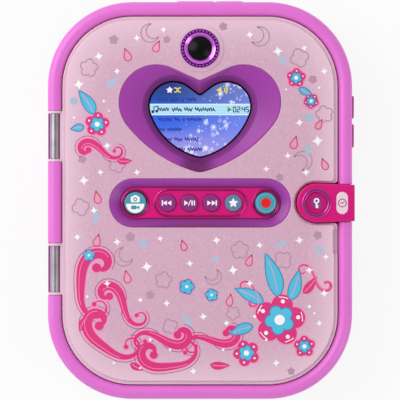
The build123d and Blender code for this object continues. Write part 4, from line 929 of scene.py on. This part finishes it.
def unlock_sign():
    """Key sign in a plum disc on the dished unlock key."""
    x, y, _ = centre("unlock_button")
    dish_radius, dish_low = 38.6, box_mm("unlock_button")[0][2] + 2.4

    def dish(flat):
        """Height of the dish: its lowest point plus the square of the distance over twice its radius."""
        return dish_low + ((flat - (x, y)) ** 2).sum(1) / (2 * dish_radius)

    disc = placed(blossom(3.4, petals=3, depth=0.16), x, y, 90)
    add_piece("unlock_plum_disc", [filled(disc, dish, KEY_INK)], plum_ink, "unlock_button")
    # the disc is flat between its middle and its rim, so the sign stands clear of the dish's curve
    rise = KEY_DETAIL + 0.07
    bow = [line(circle(1.25, 24) + (x, y + 1.3), dish, rise, 0.9, closed=True)]
    strokes = [((0, 0.3), (0, -3.0), 1.0), ((0, -1.7), (1.3, -1.7), 0.7), ((0, -2.7), (1.1, -2.7), 0.7)]
    bow += [line(np.linspace(start, end, 6) + (x, y), dish, rise + INK_STEP * (i + 1), wide)
            for i, (start, end, wide) in enumerate(strokes)]
    add_piece("unlock_key_sign", bow, white_ink, "unlock_button")


def clock_sign():
    """Clock face on the pill-shaped key: a ring and two hands."""
    x, y, _ = centre("clock_button")
    ground = level(top("clock_button"))
    face = [line(circle(2.35, 36) + (x, y), ground, KEY_INK, 0.5, closed=True)]
    hands = [((-1.1, 0.35), (0, -0.35)), ((-0.1, -0.35), (1.3, 0.9))]
    face += stacked(line, [np.array(hand) + (x, y) for hand in hands], ground, KEY_INK + INK_STEP, width=0.45)
    add_piece("clock_sign", face, brown_ink, "clock_button")


# ---- picture on the display ----
def digits(text, x, y, height):
    """Strokes of seven-stroke numbers: each is a short line of a 1 by 2 cell; a colon is two dots."""
    strokes = {
        "a": ((0, 2), (1, 2)), "b": ((1, 2), (1, 1)), "c": ((1, 1), (1, 0)), "d": ((0, 0), (1, 0)),
        "e": ((0, 0), (0, 1)), "f": ((0, 1), (0, 2)), "g": ((0, 1), (1, 1)),
    }
    figures = {"0": "abcdef", "2": "abged", "4": "fgbc", "5": "afgcd"}
    cell, lines, dots = height / 2, [], []
    for figure in text:
        if figure == ":":
            dots += [circle(0.3, 10) + (x, y + k * cell) for k in (0.5, 1.5)]
            x += 0.75
            continue
        lines += [np.array(strokes[s], float) * cell + (x, y) for s in figures[figure]]
        x += cell + 0.85
    return lines, dots


def scribble(x, y, words):
    """Waves that stand for words: a sine with a shorter and a longer one laid over it."""
    pitch, height, space = 1.55, 0.78, 1.4
    paths = []
    for wide in words:
        u = np.arange(0, wide, 0.12)
        turns = 2 * np.pi * u / pitch
        wave = np.sin(turns) + 0.5 * np.sin(2.3 * turns + x) + 0.35 * np.sin(0.37 * turns + 2 * x)
        paths.append(np.column_stack([x + u, y + height * wave]))
        x += wide + space
    return paths


def shown(name, shapes, finish):
    """Piece of the picture on the display."""
    add_piece(f"screen_{name}", shapes, finish, "lid")


def screen_list(ground):
    """Bright bar of the chosen row, and waves in place of the titles above and below it."""
    width, height, square = 66, 6.4, 40     # the high power makes square corners
    edges = [bar(width, 0.5, square) + (0, BAR_Y + side * height / 2) for side in (-1, 1)]
    # row above or below, how far in it starts, widths of its words
    titles = [(1, 0.0, (6.0, 5.0, 2.0, 6.0)), (-1, 0.0, (8.4, 3.2, 1.8, 9.0)), (-2, 0.6, (3.6, 8.6)),
              (-3, 4.6, (3.6, 5.0, 8.4)), (-4, 12.6, (3.8, 9.0))]
    rows = [path for row, start, words in titles
            for path in scribble(TITLE_X + start, BAR_Y + row * ROW_PITCH, words)]
    shown("chosen_row", [filled(bar(width, height, square) + (0, BAR_Y), ground, ROW)],
          lit("pale_blue", "#AEE1F5", "#BFEAFA"))
    shown("row_edges", stacked(filled, edges, ground, ROW + 0.01), lit("white_blue", "#E6FAFF", "#F0FCFF"))
    shown("rows", stacked(line, rows, ground, ROW, width=LINE_WIDTH), lit("dark_blue", "#1F3A94", "#243F9A"))


def chosen_row_signs(ground):
    """Note, title, play sign and time on the bright bar."""
    title = scribble(TITLE_X, BAR_Y, (6.6, 6.2, 5.2, 12.4))
    number_lines, number_dots = digits("02:45", 20.2, BAR_Y - 1.5, 3.0)
    heads = [circle(0.9, 20) + (x, BAR_Y + y) for x, y in ((-28.6, -1.4), (-26.2, -1.0))]
    stems = [np.array(ends) + (0, BAR_Y) for ends in
             (((-27.9, -1.4), (-27.9, 1.6)), ((-25.5, -1.0), (-25.5, 2.0)), ((-28.1, 1.6), (-25.3, 2.0)))]
    signs = stacked(line, title + number_lines + stems, ground, SIGN, width=LINE_WIDTH)
    signs += stacked(filled, number_dots + heads, ground, SIGN)
    shown("dark_signs", signs, lit("navy", "#1F2A66", "#242F6C"))
    shown("play_sign", [filled(triangle(17.6, BAR_Y, 1.8), ground, SIGN)], lit("green", "#3E9E48", "#48AA50"))


def status_signs(ground):
    """Star, crossed arrows and loudspeaker above the list."""
    y = BAR_Y + 1.95 * ROW_PITCH
    badge = filled(star(2.2, 0.55) + (-18.4, y), ground, SIGN)
    shown("star_sign", [badge], lit("white", "#FFE9FF", "#FFF4FF"))
    arrows = [np.array([(-15.6, rise), (-14.4, rise), (-12.8, -rise), (-11.6, -rise)]) + (0, y)
              for rise in (-1.2, 1.2)]
    waves = [arc(radius, -48, 48, 12) + (13.6, y) for radius in (1.6, 2.9)]
    yellow = stacked(line, arrows + waves, ground, SIGN, width=0.75)
    yellow.append(filled(triangle(12.0, y, 2.1, -1), ground, SIGN))
    shown("yellow_signs", yellow, lit("yellow", "#EFD84A", "#F6E256"))


def screen_picture():
    """Starry picture that leaves a margin of the display module free, and what is drawn on it."""
    low, high = box_mm("display_module")
    margin = np.array([1.0, 1.0, 0])
    picture = block((*low[:2], high[2] + INK_BASE) + margin, high - margin + (0, 0, PICTURE))
    shown("picture", [picture], starry_picture("starry_display_picture"))
    ground = level(high[2])
    screen_list(ground)
    chosen_row_signs(ground)
    status_signs(ground)


# ---- notepad and battery bay ----
def notepad_print():
    """Blossoms and sparkles printed on the notepad's card."""
    low, high = box_mm("notepad_cover")
    x, y = (low[:2] + high[:2]) / 2
    card = level(high[2])
    flowers = [(x - 14, y - 22, 13, 10), (x + 14, y + 26, 9, 30), (x + 20, y - 34, 6, 50),
               (x - 22, y + 34, 5, 0)]
    sparks = [(x - 4, y + 12, 5), (x + 24, y + 2, 4), (x - 26, y + 6, 4), (x + 2, y - 44, 4),
              (x - 8, y + 44, 4), (x + 26, y + 46, 3)]
    pink = stacked(filled, blossoms(flowers), card, KEY_INK)
    white = stacked(filled, sparkles(sparks) + middles(flowers, 0.25), card, KEY_DETAIL)
    add_piece("notepad_blossoms", pink, halo_ink, "case")
    add_piece("notepad_sparkles", white, white_ink, "case")


def battery_fittings():
    """Contact plates with wound springs, and the bright band on each cell."""
    low, high = box_mm("battery_contacts")
    cells_low, cells_high = box_mm("aa_cells")
    z, cell_r = (cells_low[2] + cells_high[2]) / 2, (cells_high[2] - cells_low[2]) / 2
    face = high[0] - PLATE_THICK
    u = np.linspace(0, 1, 160)
    angle = 2 * np.pi * SPRING_TURNS * u
    coil = polar(SPRING_FOOT - (SPRING_FOOT - SPRING_TIP) * u, angle)
    plates, springs, jackets = [], [], []
    for y, way in ((cells_low[1] + cell_r, 1), (cells_high[1] - cell_r, -1)):
        for x in (low[0], face):
            plates.append(block((x, y - PLATE_HALF, z - PLATE_HALF),
                                (x + PLATE_THICK, y + PLATE_HALF, z + PLATE_HALF + 1)))
        x = -way * (face - SPRING_WIRE - u * SPRING_REACH)
        springs.append(wire(np.column_stack([x, coil + (y, z)]), SPRING_WIRE))
        for k in range(2):
            start = way * (face - SHOULDER) - way * k * CELL_LENGTH
            ends = [start - way * BAND_FROM, start - way * BAND_TO]
            jackets.append(sleeve(*ends, y, z, cell_r - 0.2, cell_r + 0.06))
    contacts = add_piece("battery_contact_plates", plates, nickel, "case")
    wound = add_piece("battery_springs", springs, nickel, "case", smooth=True)
    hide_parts("battery_contacts")
    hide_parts("battery_contacts")
    add_piece("cell_bands", jackets, copper, "case", smooth=True)


for name, shapes, finish in garland() + [white_print()] + faint_prints():
    add_piece(name, shapes, finish, "lid")
key_symbols()
unlock_sign()
clock_sign()
screen_picture()
notepad_print()
battery_fittings()


# ---- floor, lamps and camera ----
def seen_directly(tree):
    """One for the rays that show the background: from the camera, off gloss and through glass."""
    rays = add_node(tree, "LightPath").outputs
    mirrored = maths(tree, "MAXIMUM", rays["Is Glossy Ray"], rays["Is Transmission Ray"])
    return maths(tree, "MAXIMUM", rays["Is Camera Ray"], mirrored), rays["Is Camera Ray"]


def studio_floor():
    """White card that the object stands on; it keeps part of its shading so the shadow stays."""
    finish, tree, place = empty_finish("white_floor_card")
    seen, _ = seen_directly(tree)
    card = add_node(tree, "BsdfDiffuse", {"Color": two_tone(tree, place, 60, "#F2F2F2", "#F6F6F6")})
    white = add_node(tree, "Emission", {"Color": WHITE, "Strength": 1.0})
    share = maths(tree, "MULTIPLY", seen, 0.88)
    close(tree, {0: share, 1: card.outputs[0], 2: white.outputs[0]}, "MixShader")
    mesh = bpy.data.meshes.new("floor")
    corners = [(x * FLOOR_HALF, y * FLOOR_HALF, 0) for x, y in ((-1, -1), (1, -1), (1, 1), (-1, 1))]
    mesh.from_pydata(corners, [], [(0, 1, 2, 3)])
    mesh.materials.append(finish)
    put("floor", mesh)


def soft_box(name, place, width, height, power):
    """Large soft lamp aimed at the lid; its place and sizes are in metres."""
    lamp = bpy.data.lights.new(name, "AREA")
    lamp.shape, lamp.size, lamp.size_y, lamp.energy = "RECTANGLE", width, height, power
    holder = put(name, lamp)
    holder.location = place
    holder.rotation_euler = (Vector((0, 0, 0.03)) - Vector(place)).to_track_quat("-Z", "Y").to_euler()


def studio_light():
    """Pale room that is darker overhead, white at the horizon where gloss shows it, and two soft boxes."""
    world = bpy.data.worlds.new("studio")
    bpy.context.scene.world = world
    world.use_nodes = True
    tree = world.node_tree
    tree.nodes.clear()
    rise = axes(tree, add_node(tree, "TexCoord").outputs["Generated"])["Z"]
    seen, by_camera = seen_directly(tree)
    at_horizon = maths(tree, "MULTIPLY", seen, ranged(tree, rise, 0.1, 0.5, 1.0, 0.0))
    white = maths(tree, "MAXIMUM", at_horizon, by_camera)
    strength = ranged(tree, rise, 0.0, 1.0, 0.95, 0.25)
    room = add_node(tree, "Background", {"Color": WHITE, "Strength": strength})
    backdrop = add_node(tree, "Background", {"Color": WHITE, "Strength": 1.0})
    mixed = add_node(tree, "MixShader", {0: white, 1: room.outputs[0], 2: backdrop.outputs[0]})
    add_node(tree, "OutputWorld", {"Surface": mixed.outputs[0]})
    soft_box("key_box", (-0.8, 0.42, 0.85), 0.9, 1.1, 9.5)
    soft_box("fill_box", (0.95, -0.5, 1.0), 0.6, 1.0, 4)


def studio_camera():
    """Camera straight above the lid, framed on the picture's width at the lid's face."""
    data = bpy.data.cameras.new("camera")
    data.sensor_width = SENSOR
    data.lens = SENSOR * (CAMERA_HEIGHT - top("front_panel")) / VIEW_WIDTH
    data.clip_end = FAR
    camera = put("camera", data)
    camera.location = (0, CAMERA_Y * MM, CAMERA_HEIGHT * MM)
    bpy.context.scene.camera = camera


studio_floor()
studio_light()
studio_camera()
bpy.context.scene.view_settings.view_transform = "Standard"
